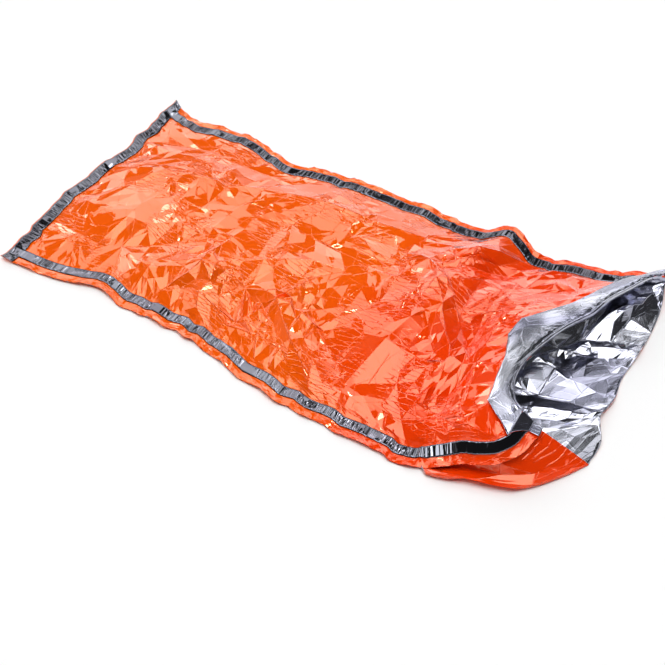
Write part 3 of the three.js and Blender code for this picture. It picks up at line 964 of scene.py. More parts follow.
def bowed(start: Array, end: Array, bow: float, turns: float = 1.0) -> tuple[tuple[float, float], ...]:
    """A slightly bent line.

    Args:
        start: its first point.
        end: its last point.
        bow: how far it leaves the straight line to the side.
        turns: how many half waves it makes.

    Returns:
        Its points.
    """
    run = end - start
    side = np.array((-run[1], run[0])) / np.hypot(*run)
    shares = np.linspace(0, 1, BOW_POINTS)
    places = [start + share * run + side * bow * math.sin(turns * math.pi * share) for share in shares]
    return tuple((float(x), float(y)) for x, y in places)


def fold_creases(folds: Sequence[tuple[float, ...]]) -> tuple[Crease, ...]:
    """Hard creases on the main folds: one on each crest and one down each flank.

    Args:
        folds: rows of a table of main folds.

    Returns:
        The creases.
    """
    made = []
    for row, (x0, y0, x1, y1, width, height) in enumerate(folds):
        start, end = np.array((x0, y0), float), np.array((x1, y1), float)
        length = np.hypot(*(end - start))
        side = np.array((y0 - y1, x1 - x0)) / length
        bow = FLANK_BOW * length * (1, -1)[row % 2]
        made.append(Crease(bowed(start, end, bow, 2), CREST_SHARE * height))
        for flank in (-1, 1) if abs(height) > FLANKED_FROM else ():
            shift = flank * FLANK_AT * width * side
            made.append(Crease(bowed(start + shift, end + shift, bow * flank), FLANK_SHARE * height))
    return tuple(made)


def peak_creases(folds: Sequence[tuple[float, ...]], seed: int) -> tuple[Crease, ...]:
    """Peaks where main folds meet, each with creases that run out from it, ridge and valley by turns.

    Args:
        folds: rows of a table of main folds.
        seed: fixes the random numbers.

    Returns:
        The creases.
    """
    rng = np.random.default_rng(seed)
    starts = [np.array(row[:2], float) for row in folds]
    made, taken = [], []
    for i, place in enumerate(starts):
        near = [s for j, s in enumerate(starts) if j != i and np.hypot(*(s - place)) < MEETING]
        if not near or any(np.hypot(*(t - place)) < MEETING for t in taken):
            continue
        taken.append(place)
        for ray in range(PEAK_RAYS):
            turn = 2 * math.pi * (ray + rng.uniform(-PEAK_STRAY, PEAK_STRAY)) / PEAK_RAYS
            reach = rng.uniform(*PEAK_REACH)
            end = place + reach * np.array((math.cos(turn), math.sin(turn)))
            line = bowed(place, end, rng.uniform(-PEAK_BOW, PEAK_BOW) * reach)
            made.append(Crease(line, PEAK_HEIGHT, PEAK_FADES[ray % 2]))
    return tuple(made)


def packing_creases(seed: int, kept: float, first: float = PACKING_EDGE,
                    near: float = PACKING_EDGE) -> tuple[Crease, ...]:
    """What is left of the straight folds from the packet, up and down by turns.

    Args:
        seed: fixes the random numbers.
        kept: share of the folds' length that hasn't been smoothed out.
        first: how far from the foot they start.
        near: how far from the near cut edge they start.

    Returns:
        The creases.
    """
    rng = np.random.default_rng(seed)
    made = []
    for along, (pitch, extent, reach) in enumerate(
            ((PACKET[0], MOUTH_AT, BAG_WIDTH), (PACKET[1], BAG_WIDTH, MOUTH_AT))):
        for number in range(1, round(extent / pitch)):
            at = number * pitch
            if not (near if along else first) < at < extent - PACKING_EDGE:
                continue
            start, last = first if along else near, reach - PACKING_EDGE
            while start < last:
                end = min(start + rng.uniform(*PACKING_RUN) * PACKET[1 - along], last)
                if rng.random() < kept:
                    line = ((start, at), (end, at)) if along else ((at, start), (at, end))
                    height = (1, -1)[number % 2] * rng.uniform(*PACKING_HEIGHT)
                    made.append(Crease(line, height, on_cut=True))
                start = end
    return tuple(made)


def wall_creases() -> tuple[Crease, ...]:
    """The near wall's own folds."""
    return tuple(Crease(bowed(np.array((s0, w0), float), np.array((s1, w1), float), bow), height,
                        on_cut=True) for s0, w0, s1, w1, bow, height in WALL_FOLDS)


@dataclass
class FilmSheet:
    """A sheet of film laid on a chart and crumpled into facets with hard folds between them.

    Args:
        name: of the piece.
        node: of the solids, that it stands for.
        chart: that places the flat cut.
        crumple: how it is crumpled.
        lie: which way its outer face looks.
        thickness: more than the real film's, so that its faces stay apart.
        crease_step: longest stretch of a crease between corners.
        snap: a crease's corner this near another is that one.
        end_share: share of its height that a crease has at its ends.
        grid: spacing of the places among which a point on the ground is looked up.
        grid_s: the first of them along the cut.
        grid_w: the first and the last across it.
        tries: free corners that are thrown.
        uneven: least and greatest factor on their spacing.
        crowding: share of it that two corners keep apart.
        edge_gap: how far they stay from the cut's edges.
        line_share: share of the spacing that they keep from creases.
        line_gap: most that they keep.
        seam_spacing: how much closer they are beside a seam.
        seam_spread: how far from it that goes.
        flap_spacing: how much wider on the turned-back flap.
        mouth: where the mouth's spacing starts, and in what length it is reached.
        off_seam: how far from a seam facets start to flatten, and in what length.
        off_turn: the same for the round fold.
        wall_round: how much of the near wall's roundness is kept.
        wall_fade: where that fades past its end, and in what length.
        normal_step: distance over which a normal is taken.
        hard_from: turn between facets, in degrees, where hard folds start.
        hard_over: degrees more that make a full one.
        edge_stray: share of an edge by which its new middle strays, by level.
        faint: share of the first new edges that are faint folds.
        faint_depth: how hard those are at most.
        hidden: length of film that is kept from rising through the flap.
        play: most that the two come towards each other.
        rest_cell: side of the squares in which its height is taken.
        rest_to: where the flap's rest ends along the bag, at the near side.
        rest_slant: how much further for each millimetre across.
        rest_clear: height of the flap over the sheet.
        sharp_turn: turn between faces, in degrees, that makes a hard edge.
    """

    name: str
    node: str
    chart: TopChart | UnderChart
    crumple: Crumple
    lie: Lie
    thickness: float = 0.6
    crease_step: float = 80.0
    snap: float = 14.0
    end_share: float = 0.35
    grid: float = 8.0
    grid_s: float = 60.0
    grid_w: tuple[float, float] = (70.0, 940.0)
    tries: int = 26000
    uneven: tuple[float, float] = (0.6, 1.5)
    crowding: float = 0.78
    edge_gap: float = 8.0
    line_share: float = 0.3
    line_gap: float = 16.0
    seam_spacing: float = 0.4
    seam_spread: float = 90.0
    flap_spacing: float = 1.4
    mouth: tuple[float, float] = (1480.0, 180.0)
    off_seam: tuple[float, float] = (6.0, 40.0)
    off_turn: tuple[float, float] = (4.0, 20.0)
    wall_round: float = 0.5
    wall_fade: tuple[float, float] = (-10.0, 40.0)
    normal_step: float = 3.0
    hard_from: float = 7.0
    hard_over: float = 14.0
    edge_stray: tuple[float, ...] = (0.16, 0.1, 0.0)
    faint: float = 0.14
    faint_depth: float = 0.8
    hidden: float = 210.0
    play: float = 1.0
    rest_cell: float = 12.0
    rest_to: float = 1700.0
    rest_slant: float = 0.25
    rest_clear: float = 7.0
    sharp_turn: float = 1.7

    def __post_init__(self) -> None:
        """Seeds the random numbers and sets out the finely crushed patches."""
        self.rng = np.random.default_rng(self.crumple.seed)
        patches, size = np.random.default_rng(self.crumple.seed + 100), self.crumple.patch
        self.waves = [(patches.uniform(*size) * patches.choice((-1, 1)), patches.uniform(*size),
                       patches.uniform(0, 2 * math.pi)) for _ in range(3)]

    def freedom(self, s: Array, w: Array) -> Array:
        """How freely the film folds, away from its seams and the round fold at the mouth.

        Args:
            s: distances from the foot.
            w: distances from the near edge.

        Returns:
            From 0 to 1 for each place.
        """
        how = self.crumple
        sides = ease((w - NEAR_WELD) / how.side_fade) * ease((FAR_WELD - w) / how.seam_fade)
        ends = ease((s - FOOT_SEAM) / how.seam_fade)
        off_fold = (s - TURN_MIDDLE) / how.fold_spread
        fold = 1 - how.fold_calm * np.exp(-off_fold ** 2)
        return (how.in_seam + (1 - how.in_seam) * sides * ends) * fold

    def strength(self, s: Array, w: Array) -> Array:
        """How strongly the film is crumpled.

        Args:
            s: distances from the foot.
            w: distances from the near edge.

        Returns:
            A factor for each place.
        """
        how = self.crumple
        at_mouth = 1 + (how.mouth_gain - 1) * ramp(s, how.mouth)
        flap = 1 - how.flap_calm * ease((s - TURN_END) / how.flap_over)
        calm = 1 - how.wall_calm * (w < NEAR_WELD + WALL_WIDTH)
        return self.freedom(s, w) * at_mouth * flap * calm

    def crushed(self, s: Array, w: Array) -> Array:
        """How finely the film is crushed, in patches beside facets that stay flat.

        Args:
            s: distances from the foot.
            w: distances from the near edge.

        Returns:
            A factor for each place.
        """
        waves = sum(np.sin(s / along + w / across + start) for along, across, start in self.waves)
        low, high = self.crumple.patch_edges
        least, more = self.crumple.crushing
        return least + more * ease((waves - low) / (high - low))

    def outline(self) -> tuple[list[Vector], list[tuple[int, int]]]:
        """The lines of the cut that facets don't cross, and their corners.

        Returns:
            Corners, and the two ends of each stretch of line.
        """
        step = self.crumple.spacing[1]
        corners: dict[tuple[float, float], int] = {}
        stretches: list[tuple[int, int]] = []
        grid_s, grid_w = (self.stops(lines, step) for lines in (self.chart.lines_s, self.chart.lines_w))
        runs = [[(s, w) for s in grid_s] for w in self.chart.lines_w]
        runs += [[(s, w) for w in grid_w] for s in self.chart.lines_s]
        for places in runs:
            numbers = [corners.setdefault((round(x, 3), round(y, 3)), len(corners)) for x, y in places]
            stretches.extend(zip(numbers[:-1], numbers[1:]))
        return [Vector(c) for c in corners], stretches

    @staticmethod
    def stops(lines: Sequence[float], step: float) -> list[float]:
        """Parts a side of the cut at its lines and between them.

        Args:
            lines: places that have to be stops.
            step: about how far apart the others are.

        Returns:
            All the stops in order.
        """
        found = [lines[0]]
        for a, b in zip(lines[:-1], lines[1:]):
            count = max(1, round((b - a) / step))
            found += [a + (b - a) * k / count for k in range(1, count + 1)]
        return found

    @cached_property
    def sampled(self) -> tuple[Array, Array, Array]:
        """Places on the cut, a grid apart, and where they lie."""
        s, w = np.meshgrid(np.arange(self.grid_s, MOUTH_AT, self.grid),
                           np.arange(*self.grid_w, self.grid), indexing="ij")
        return s, w, self.chart.place(s, w)

    def find(self, x: float, y: float) -> tuple[float, float]:
        """Looks up the place on the cut that lies at a point of the ground plan.

        Args:
            x: along the bag.
            y: across it.

        Returns:
            The place on the cut.
        """
        s, w, places = self.sampled
        at = np.unravel_index(np.argmin(np.hypot(places[..., 0] - x, places[..., 1] - y)), s.shape)
        return float(s[at]), float(w[at])

    def loose_crease(self) -> tuple[list[Vector], float]:
        """Throws a straight crease at random.

        Returns:
            Its two ends on the cut, and its height.
        """
        how, size = self.crumple, np.array((MOUTH_AT, BAG_WIDTH))
        middle = Vector(self.rng.uniform(how.loose_inset, size - how.loose_inset))
        reach = self.rng.uniform(*how.loose_reach)
        turn = self.rng.uniform(0, math.pi)
        arm = Vector((math.cos(turn), math.sin(turn))) * reach
        ends = [Vector(np.clip(end, how.loose_low, size - how.loose_high))
                for end in (middle - arm, middle + arm)]
        return ends, self.rng.uniform(*how.loose_rise) * self.rng.choice([-1, 1])

    def network(self) -> tuple[Array, Array, Array]:
        """Lays out the largest facets.

        Returns:
            Corners on the flat cut, their heights, and the triangles.
        """
        corners, stretches = self.outline()
        lines_end = len(corners)
        heights: dict[int, float] = {i: 0.0 for i in range(lines_end)}
        for crease in self.crumple.creases:
            marks = [Vector((x, y) if crease.on_cut else self.find(x, y)) for x, y in crease.line]
            self.score(corners, stretches, heights, marks, crease.height, crease.fade)
        placed_end = len(corners)
        for _ in range(self.crumple.loose):
            self.score(corners, stretches, heights, *self.loose_crease())
        self.scatter(corners)
        made = delaunay_2d_cdt(corners, stretches, [], 0, 1e-3)
        points = np.array([tuple(p) for p in made[0]], float)
        triangles = np.array([list(t) for t in made[2]], int)
        free = self.rng.normal(0, self.crumple.slopes[0], len(points)) * self.reaches(points, triangles)
        first = np.array([source[0] if source else len(corners) for source in made[3]])
        found = np.array([heights.get(number, rise) for number, rise in zip(first.tolist(), free)])
        if self.lie is Lie.OUTER_DOWN:
            found = np.where(points[:, 1] > NEAR_WELD + WALL_WIDTH, np.abs(found), found)
        placed = (first >= lines_end) & (first < placed_end)
        found = found * np.where(placed, self.freedom(*points.T), self.strength(*points.T))
        return points, found, triangles

    @staticmethod
    def reaches(points: Array, triangles: Array) -> Array:
        """Measures how far each corner is from its neighbours.

        Args:
            points: corners on the flat cut.
            triangles: corner numbers.

        Returns:
            Half way between the least and the mean length of each corner's edges.
        """
        edges, _ = FilmSheet.edges_of(triangles)
        span = np.linalg.norm(points[edges[:, 0]] - points[edges[:, 1]], axis=1)
        total, count, least = np.zeros(len(points)), np.zeros(len(points)), np.full(len(points), 1e3)
        for side in (0, 1):
            np.add.at(total, edges[:, side], span)
            np.add.at(count, edges[:, side], 1)
            np.minimum.at(least, edges[:, side], span)
        return 0.5 * least + 0.5 * total / count

    def score(self, corners: list[Vector], stretches: list[tuple[int, int]],
              heights: dict[int, float], marks: Sequence[Vector], height: float,
              fade: float = 0.0) -> None:
        """Adds a crease.

        Args:
            corners: on the flat cut; the new ones are added.
            stretches: of line that facets don't cross; the new ones are added.
            heights: by corner number; the new ones are added.
            marks: the crease's bends.
            height: of the fold at its highest.
            fade: as a crease's.
        """
        places = [marks[0]]
        for a, b in zip(marks[:-1], marks[1:]):
            count = max(1, round((b - a).length / self.crease_step))
            places += [a.lerp(b, k / count) for k in range(1, count + 1)]
        last = None
        for k, place in enumerate(places):
            number = min(range(len(corners)), key=lambda i: (corners[i] - place).length)
            if (corners[number] - place).length > self.snap:
                number = len(corners)
                corners.append(place)
                way = k / (len(places) - 1)
                arch = self.end_share + (1 - self.end_share) * math.sin(math.pi * way)
                heights[number] = height * ((1 - way) ** fade if fade else arch)
            if last is not None and last != number:
                stretches.append((last, number))
            last = number

    def scatter(self, corners: list[Vector]) -> None:
        """Adds free corners, no nearer to each other than the spacing.

        Args:
            corners: on the flat cut; the new ones are added.
        """
        taken = np.array([tuple(c) for c in corners], float)
        body, at_mouth = self.crumple.spacing
        inside = (self.chart.length - self.edge_gap, BAG_WIDTH - self.edge_gap)
        tries = self.rng.uniform((self.edge_gap, self.edge_gap), inside, (self.tries, 2))
        reach = body + (at_mouth - body) * ramp(tries[:, 0], self.mouth)
        on_flap = tries[:, 0] > TURN_END
        reach = np.where(on_flap, self.flap_spacing * at_mouth, reach)
        off_seam = np.minimum(tries[:, 1] - NEAR_WELD, FAR_WELD - tries[:, 1])
        off_seam = np.minimum(off_seam, tries[:, 0] - FOOT_SEAM)
        closer = self.seam_spacing + (1 - self.seam_spacing) * ease(off_seam / self.seam_spread)
        reach = reach * self.rng.uniform(*self.uneven, len(tries)) * closer
        seam_lines, cross_lines = np.array(self.chart.lines_w), np.array(self.chart.lines_s)
        for (s, w), clear in zip(tries, reach):
            margin = min(self.line_share * clear, self.line_gap)
            if np.abs(seam_lines - w).min() < margin or np.abs(cross_lines - s).min() < margin:
                continue
            if np.hypot(*(taken - (s, w)).T).min() < self.crowding * clear:
                continue
            taken = np.vstack([taken, (s, w)])
            corners.append(Vector((s, w)))

    def flatness(self, s: Array, w: Array) -> Array:
        """Where facets are flat and don't follow the smooth sheet.

        Args:
            s: distances from the foot.
            w: distances from the near edge.

        Returns:
            1 there, and 0 in seams and folds.
        """
        near, far = w - NEAR_WELD, FAR_WELD - w
        clear = ramp(np.minimum(near, far), self.off_seam) * ramp(s - FOOT_SEAM, self.off_seam)
        turn = np.abs(s - TURN_MIDDLE) - TURN_LENGTH / 2
        wall = (self.lie is Lie.OUTER_DOWN) * (1 - ramp(near - WALL_WIDTH, self.wall_fade))
        return clear * ramp(turn, self.off_turn) * (1 - self.wall_round * wall)

    def normals(self, s: Array, w: Array) -> Array:
        """Normals of the smooth sheet.

        Args:
            s: distances from the foot.
            w: distances from the near edge.

        Returns:
            Unit vectors on the upper side of the flat cut.
        """
        step, place = self.normal_step, self.chart.place
        ds = place(np.minimum(s + step, self.chart.length), w) - place(np.maximum(s - step, 0), w)
        dw = place(s, np.minimum(w + step, BAG_WIDTH)) - place(s, np.maximum(w - step, 0))
        return unit(np.cross(ds, dw))

    def locked(self, ends: Array) -> Array:
        """Finds edges that lie on the cut's own lines.

        Args:
            ends: the two ends of each edge on the flat cut.

        Returns:
            A mask of those edges.
        """
        found = np.zeros(len(ends), bool)
        for axis, lines in ((0, self.chart.lines_s), (1, self.chart.lines_w)):
            for line in lines:
                found |= np.isclose(ends[:, :, axis], line, atol=0.01, rtol=0).all(1)
        return found

    @staticmethod
    def edges_of(triangles: Array) -> tuple[Array, Array]:
        """Lists the edges of a mesh of triangles.

        Args:
            triangles: corner numbers.

        Returns:
            The two ends of each edge, and each triangle's three edges.
        """
        pairs = np.sort(triangles[:, [0, 1, 1, 2, 2, 0]].reshape(-1, 2), axis=1)
        edges, where = np.unique(pairs, axis=0, return_inverse=True)
        return edges, where.reshape(-1, 3)

    def hard(self, place: Array, triangles: Array) -> Array:
        """Tells how hard each edge is folded.

        Args:
            place: points in the bag frame.
            triangles: corner numbers.

        Returns:
            From 0 to 1 for each edge.
        """
        a, b, c = (place[triangles[:, i]] for i in range(3))
        facing = unit(np.cross(b - a, c - a))
        edges, where = self.edges_of(triangles)
        total = np.zeros((len(edges), 3))
        for side in range(3):
            np.add.at(total, where[:, side], facing)
        turn = 2 * np.degrees(np.arccos(np.clip(np.linalg.norm(total, axis=1) / 2, 0, 1)))
        count = np.bincount(where.ravel(), minlength=len(edges))
        return np.where(count == 2, np.clip((turn - self.hard_from) / self.hard_over, 0, 1), 0)

    def subdivide(self, net: tuple[Array, ...], triangles: Array, ridge: Array, slope: float,
                  level: int) -> tuple[tuple[Array, ...], Array, Array]:
        """Parts every triangle in four and creases the new edges a little.

        Args:
            net: corners on the flat cut, their places on the smooth sheet, its normals there, how
                far each corner is moved from it, and how hard a fold each one lies on.
            triangles: corner numbers.
            ridge: how hard each edge is folded.
            slope: spread of the new facets' slopes.
            level: 0 for the first time.

        Returns:
            The new net, its triangles, and how hard each new edge is folded.
        """
        points, base, normals, offsets, _ = net
        edges, where = self.edges_of(triangles)
        where = where + len(points)
        ends = points[edges]
        span = np.linalg.norm(ends[:, 0] - ends[:, 1], axis=1)
        stray = ~self.locked(ends) * self.edge_stray[level]
        share = 0.5 + self.rng.uniform(-1, 1, len(edges)) * stray
        middle, facing, moved, straight = (
            mix(a[edges[:, 0]], a[edges[:, 1]], share)
            for a in (points, normals, offsets, base + offsets))
        smooth = self.chart.place(*middle.T)
        moved = mix(moved, straight - smooth, self.flatness(*middle.T))
        rise = self.rng.normal(0, slope, len(edges)) * span * self.strength(*middle.T)
        rise *= self.crushed(*middle.T)
        moved = moved + unit(facing) * rise[:, None]
        a, b, c = triangles.T
        ab, bc, ca = where.T
        parts = np.concatenate([np.stack(q, 1) for q in ((a, ab, ca), (ab, b, bc), (ca, bc, c),
                                                         (ab, bc, ca))])
        net = tuple(np.concatenate([old, new]) for old, new in zip(
            net, (middle, smooth, facing, moved, ridge)))
        new_edges, _ = self.edges_of(parts)
        number = (np.arange(len(edges)) + len(points)).tolist()
        known = {(p, n): fold for side in (0, 1)
                 for p, n, fold in zip(edges[:, side].tolist(), number, ridge)}
        fresh = self.rng.random(len(new_edges))
        faint = np.where(fresh > (1 if level else 1 - self.faint), fresh * self.faint_depth, 0)
        ridge = np.array([known.get((p, q), f) for (p, q), f in zip(new_edges.tolist(), faint)])
        return net, parts, ridge

    def build(self, materials: Sequence[Material]) -> bpy.types.Object:
        """Makes the piece.

        Args:
            materials: of the outer face and the inner one.

        Returns:
            The new object.
        """
        points, heights, triangles = self.network()
        base = self.chart.place(points[:, 0], points[:, 1])
        normals = self.normals(points[:, 0], points[:, 1])
        offsets = normals * heights[:, None]
        ridge = self.hard(base + offsets, triangles)
        net = points, base, normals, offsets, np.zeros(len(points))
        for level, slope in enumerate(self.crumple.slopes[1:]):
            net, triangles, ridge = self.subdivide(net, triangles, ridge, slope, level)
        points, base, normals, offsets, folded = net
        edges, _ = self.edges_of(triangles)
        for side in (0, 1):
            np.maximum.at(folded, edges[:, side], ridge * (folded[edges[:, 1 - side]] > 0))
        curved = self.flatness(*points.T) < 0.5
        normals[curved] = self.normals(*points[curved].T)
        if self.lie is Lie.OUTER_UP:
            flap = points[:, 0] > TURN_END
            covered = (points[:, 0] > MOUTH_AT - self.hidden) & ~flap
            offsets[flap, 2] = np.maximum(offsets[flap, 2], -self.play)
            offsets[covered, 2] = np.minimum(offsets[covered, 2], self.play)
            place = base + offsets + unit(normals) * self.thickness
            self.rest(place, flap)
        else:
            place = base + offsets
            place[:, 2] = np.maximum(place[:, 2], 0)
            triangles = triangles[:, ::-1]
        return self.to_object(points, place, triangles, folded, materials)

    def rest(self, place: Array, flap: Array) -> None:
        """Lifts the turned-back flap off the sheet below it.

        Args:
            place: points in the bag frame, changed in place.
            flap: a mask of the flap's points.
        """
        margin, count = 60, 300  # cells before the bag's corner, and in all
        column = np.floor(place[:, :2] / self.rest_cell).astype(int) + margin
        height = np.zeros((count, count))
        body = ~flap & (column.min(1) >= 1) & (column.max(1) < count - 1)
        np.maximum.at(height, tuple(column[body].T), place[body, 2])
        shifts = [(i, j) for i in (-1, 0, 1) for j in (-1, 0, 1)]
        around = np.max([np.roll(height, shift, (0, 1)) for shift in shifts], 0)
        for _ in range(3):
            around = np.mean([np.roll(around, shift, (0, 1)) for shift in shifts], 0)
        low = flap & (place[:, 0] < self.rest_to + self.rest_slant * place[:, 1])
        spot = place[low, :2] / self.rest_cell + margin - 0.5
        whole = np.floor(spot).astype(int)
        part = spot - whole
        under = sum(
            around[whole[:, 0] + i, whole[:, 1] + j]
            * (part[:, 0] if i else 1 - part[:, 0]) * (part[:, 1] if j else 1 - part[:, 1])
            for i in (0, 1) for j in (0, 1))
        place[low, 2] = np.maximum(place[low, 2], under + self.rest_clear)

    def to_object(self, cut: Array, place: Array, triangles: Array, folded: Array,
                  materials: Sequence[Material]) -> bpy.types.Object:
        """Puts the sheet in the scene.

        Args:
            cut: places on the flat cut, the UV map in metres.
            place: places in the bag frame.
            triangles: corner numbers.
            folded: how hard a fold each point lies on, the attribute "ridge".
            materials: of the outer face and the inner one.

        Returns:
            The new object.
        """
        mesh = bpy.data.meshes.new(self.name)
        mesh.from_pydata(((place + ROW_SHIFT) * MM).tolist(), [], triangles.tolist())
        layer = mesh.uv_layers.new(name="cut")
        layer.data.foreach_set("uv", (cut[triangles.ravel()] * MM).astype(np.float32).ravel())
        ridge = mesh.attributes.new("ridge", "FLOAT", "POINT")
        ridge.data.foreach_set("value", folded.astype(np.float32))
        mesh.polygons.foreach_set("use_smooth", np.ones(len(mesh.polygons), bool))
        mesh.set_sharp_from_angle(angle=math.radians(self.sharp_turn))
        self.soften(mesh, cut)
        piece = bpy.data.objects.new(self.name, mesh)
        bpy.context.scene.collection.objects.link(piece)
        for material in materials:
            mesh.materials.append(material)
        shell = piece.modifiers.new("film", "SOLIDIFY")
        shell.thickness = self.thickness * MM
        shell.offset = -1
        shell.material_offset = 1
        shell.material_offset_rim = 0
        return piece

    @staticmethod
    def soften(mesh: bpy.types.Mesh, cut: Array) -> None:
        """Leaves the round folds without hard edges.

        Args:
            mesh: of the piece.
            cut: places on the flat cut.
        """
        ends = np.empty(len(mesh.edges) * 2, np.int32)
        mesh.edges.foreach_get("vertices", ends)
        middle = cut[ends.reshape(-1, 2)].mean(1)
        hard = np.empty(len(mesh.edges), bool)
        sharp = mesh.attributes["sharp_edge"]
        sharp.data.foreach_get("value", hard)
        hard &= np.abs(middle[:, 0] - TURN_MIDDLE) > TURN_LENGTH / 2
        sharp.data.foreach_set("value", hard)

    def dress(self, piece: bpy.types.Object) -> None:
        """Tells the frame what the piece is.

        Args:
            piece: the sheet's object.
        """
        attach(piece, "root")
        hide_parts(self.node)


@dataclass
class SeamTape:
    """A seam tape: a narrow strip of film laid over a seam and gathered with it.

    Args:
        edge: that it closes.
        thickness: that the tape is drawn with.
        lift: of its lower face over the under sheet's.
        step: between two rows of points along it.
        points: how many there are across it.
        start: of a side tape, from the foot corner.
        end: of a side tape, from the mouth's end of the seam.
        foot_from: of the foot tape, from the foot's cut edge.
        foot_width: of the foot tape.
        over_foot: how much higher a side tape lies on the foot tape.
        step_down: where it comes down from there, and in what length.
        sharp_turn: turn between faces, in degrees, that makes a hard edge.
    """

    edge: Edge
    thickness: float = 0.5
    lift: float = 4.4
    step: float = 2.5
    points: int = 9
    start: float = 12.0
    end: float = 26.0
    foot_from: float = 5.0
    foot_width: float = 44.0
    over_foot: float = 1.2
    step_down: tuple[float, float] = (FOOT_SEAM, 20.0)
    sharp_turn: float = 2.0

    @property
    def width(self) -> float:
        """Width of the tape."""
        if self.edge is Edge.FOOT:
            return self.foot_width
        return SIDE_SEAM[self.edge] - SIDE_MARGIN[self.edge]

    @property
    def length(self) -> float:
        """Length of the tape."""
        if self.edge is Edge.FOOT:
            return BAG_WIDTH
        return SEAM_LENGTH[self.edge] - self.start - self.end

    def grid(self) -> Array:
        """Points of the tape.

        Returns:
            A grid of points, along the tape and then across it.
        """
        across = np.linspace(0, 1, self.points)
        if self.edge is Edge.FOOT:
            along, share = np.meshgrid(np.arange(0, BAG_WIDTH + 0.1, self.step), across, indexing="ij")
            point = TopChart().place(self.foot_from + share * self.width, along)
            return point + np.array([0, 0, self.lift - LIFT])
        along = np.arange(self.start, SEAM_LENGTH[self.edge] - self.end, self.step)
        along, share = np.meshgrid(along, across, indexing="ij")
        seam = NEAR if self.edge is Edge.NEAR else FAR
        point = seam.strip(along, SIDE_MARGIN[self.edge] + share * self.width, self.lift)
        point[..., 2] += self.over_foot * (1 - ramp(along, self.step_down))
        return point

    def build(self, materials: Sequence[Material]) -> bpy.types.Object:
        """Makes the piece.

        Args:
            materials: the tape's only one.

        Returns:
            The new object.
        """
        grid = self.grid()
        rows, points = grid.shape[:2]
        number = np.arange(rows * points).reshape(rows, points)
        faces = np.stack([number[:-1, :-1], number[1:, :-1], number[1:, 1:], number[:-1, 1:]], -1)
        faces = faces.reshape(-1, 4)
        if self.edge is not Edge.NEAR:
            faces = faces[:, ::-1]
        mesh = bpy.data.meshes.new(f"tape_{self.edge.value}")
        mesh.from_pydata(((grid.reshape(-1, 3) + ROW_SHIFT) * MM).tolist(), [], faces.tolist())
        mesh.polygons.foreach_set("use_smooth", np.ones(len(mesh.polygons), bool))
        mesh.set_sharp_from_angle(angle=math.radians(self.sharp_turn))
        for material in materials:
            mesh.materials.append(material)
        corner = np.empty(len(mesh.loops), int)
        mesh.loops.foreach_get("vertex_index", corner)
        row, column = np.divmod(corner, points)
        cut = np.stack([row * self.step, column / (points - 1) * self.width], 1)
        mesh.uv_layers.new(name="cut").uv.foreach_set("vector", (cut * MM).ravel())
        piece = bpy.data.objects.new(mesh.name, mesh)
        bpy.context.scene.collection.objects.link(piece)
        shell = piece.modifiers.new("tape", "SOLIDIFY")
        shell.thickness = self.thickness * MM
        shell.offset = 1
        return piece

    def dress(self, piece: bpy.types.Object) -> None:
        """Tells the frame what the piece is.

        Args:
            piece: the tape's object.
        """
        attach(piece, "root")
        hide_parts(f"seam_tape_{self.edge.value}")


FOLD_FOCUS = 5.0  # power that narrows the line along a hard fold
BLOTCH_EDGES = (0.35, 0.65)  # values of the noise at which a blotch's two tones are pure


def colour(code: str) -> tuple[float, float, float, float]:
    """Turns an sRGB hex code into linear colour.

    Args:
        code: six hex digits.

    Returns:
        Red, green, blue and alpha.
    """
    parts = [int(code[i:i + 2], 16) / 255 for i in (0, 2, 4)]
    linear = [c / 12.92 if c <= 0.04045 else ((c + 0.055) / 1.055) ** 2.4 for c in parts]
    return (*linear, 1.0)


def per_metre(size: float) -> float:
    """Turns a pattern's real size in millimetres into its scale on coordinates in metres."""
    return 1 / (size * MM)


def fill(tree: Tree, node: bpy.types.Node, inputs: dict) -> None:
    """Sets or links a node's inputs.

    Args:
        tree: of the node.
        node: to fill.
        inputs: values or sockets, by the input's name or number.
    """
    for key, value in inputs.items():
        if isinstance(value, Socket):
            tree.links.new(value, node.inputs[key])
        else:
            node.inputs[key].default_value = value


def add_node(tree: Tree, kind: str, inputs: dict | None = None,
             stops: Sequence[tuple[float, Sequence[float]]] = (),
             **settings: object) -> bpy.types.Node:
    """Adds a node with its settings and links.

    Args:
        tree: that it is added to.
        kind: the node's type.
        inputs: values or sockets for its inputs, by name or number.
        stops: places and linear colours of a colour ramp, in order.
        settings: the node's own settings.

    Returns:
        The node.
    """
    node = tree.nodes.new(kind)
    for key, value in settings.items():
        setattr(node, key, value)
    for number, (place, shade) in enumerate(stops):
        elements = node.color_ramp.elements
        stop = elements[number] if number < 2 else elements.new(place)
        stop.position, stop.color = place, shade
    fill(tree, node, inputs or {})
    return node


def new_material(name: str) -> tuple[Material, Tree, bpy.types.Node]:
    """Starts a material.

    Args:
        name: of the material.

    Returns:
        The material, its node tree and its shader.
    """
    material = bpy.data.materials.new(name)
    material.use_nodes = True
    return material, material.node_tree, material.node_tree.nodes["Principled BSDF"]


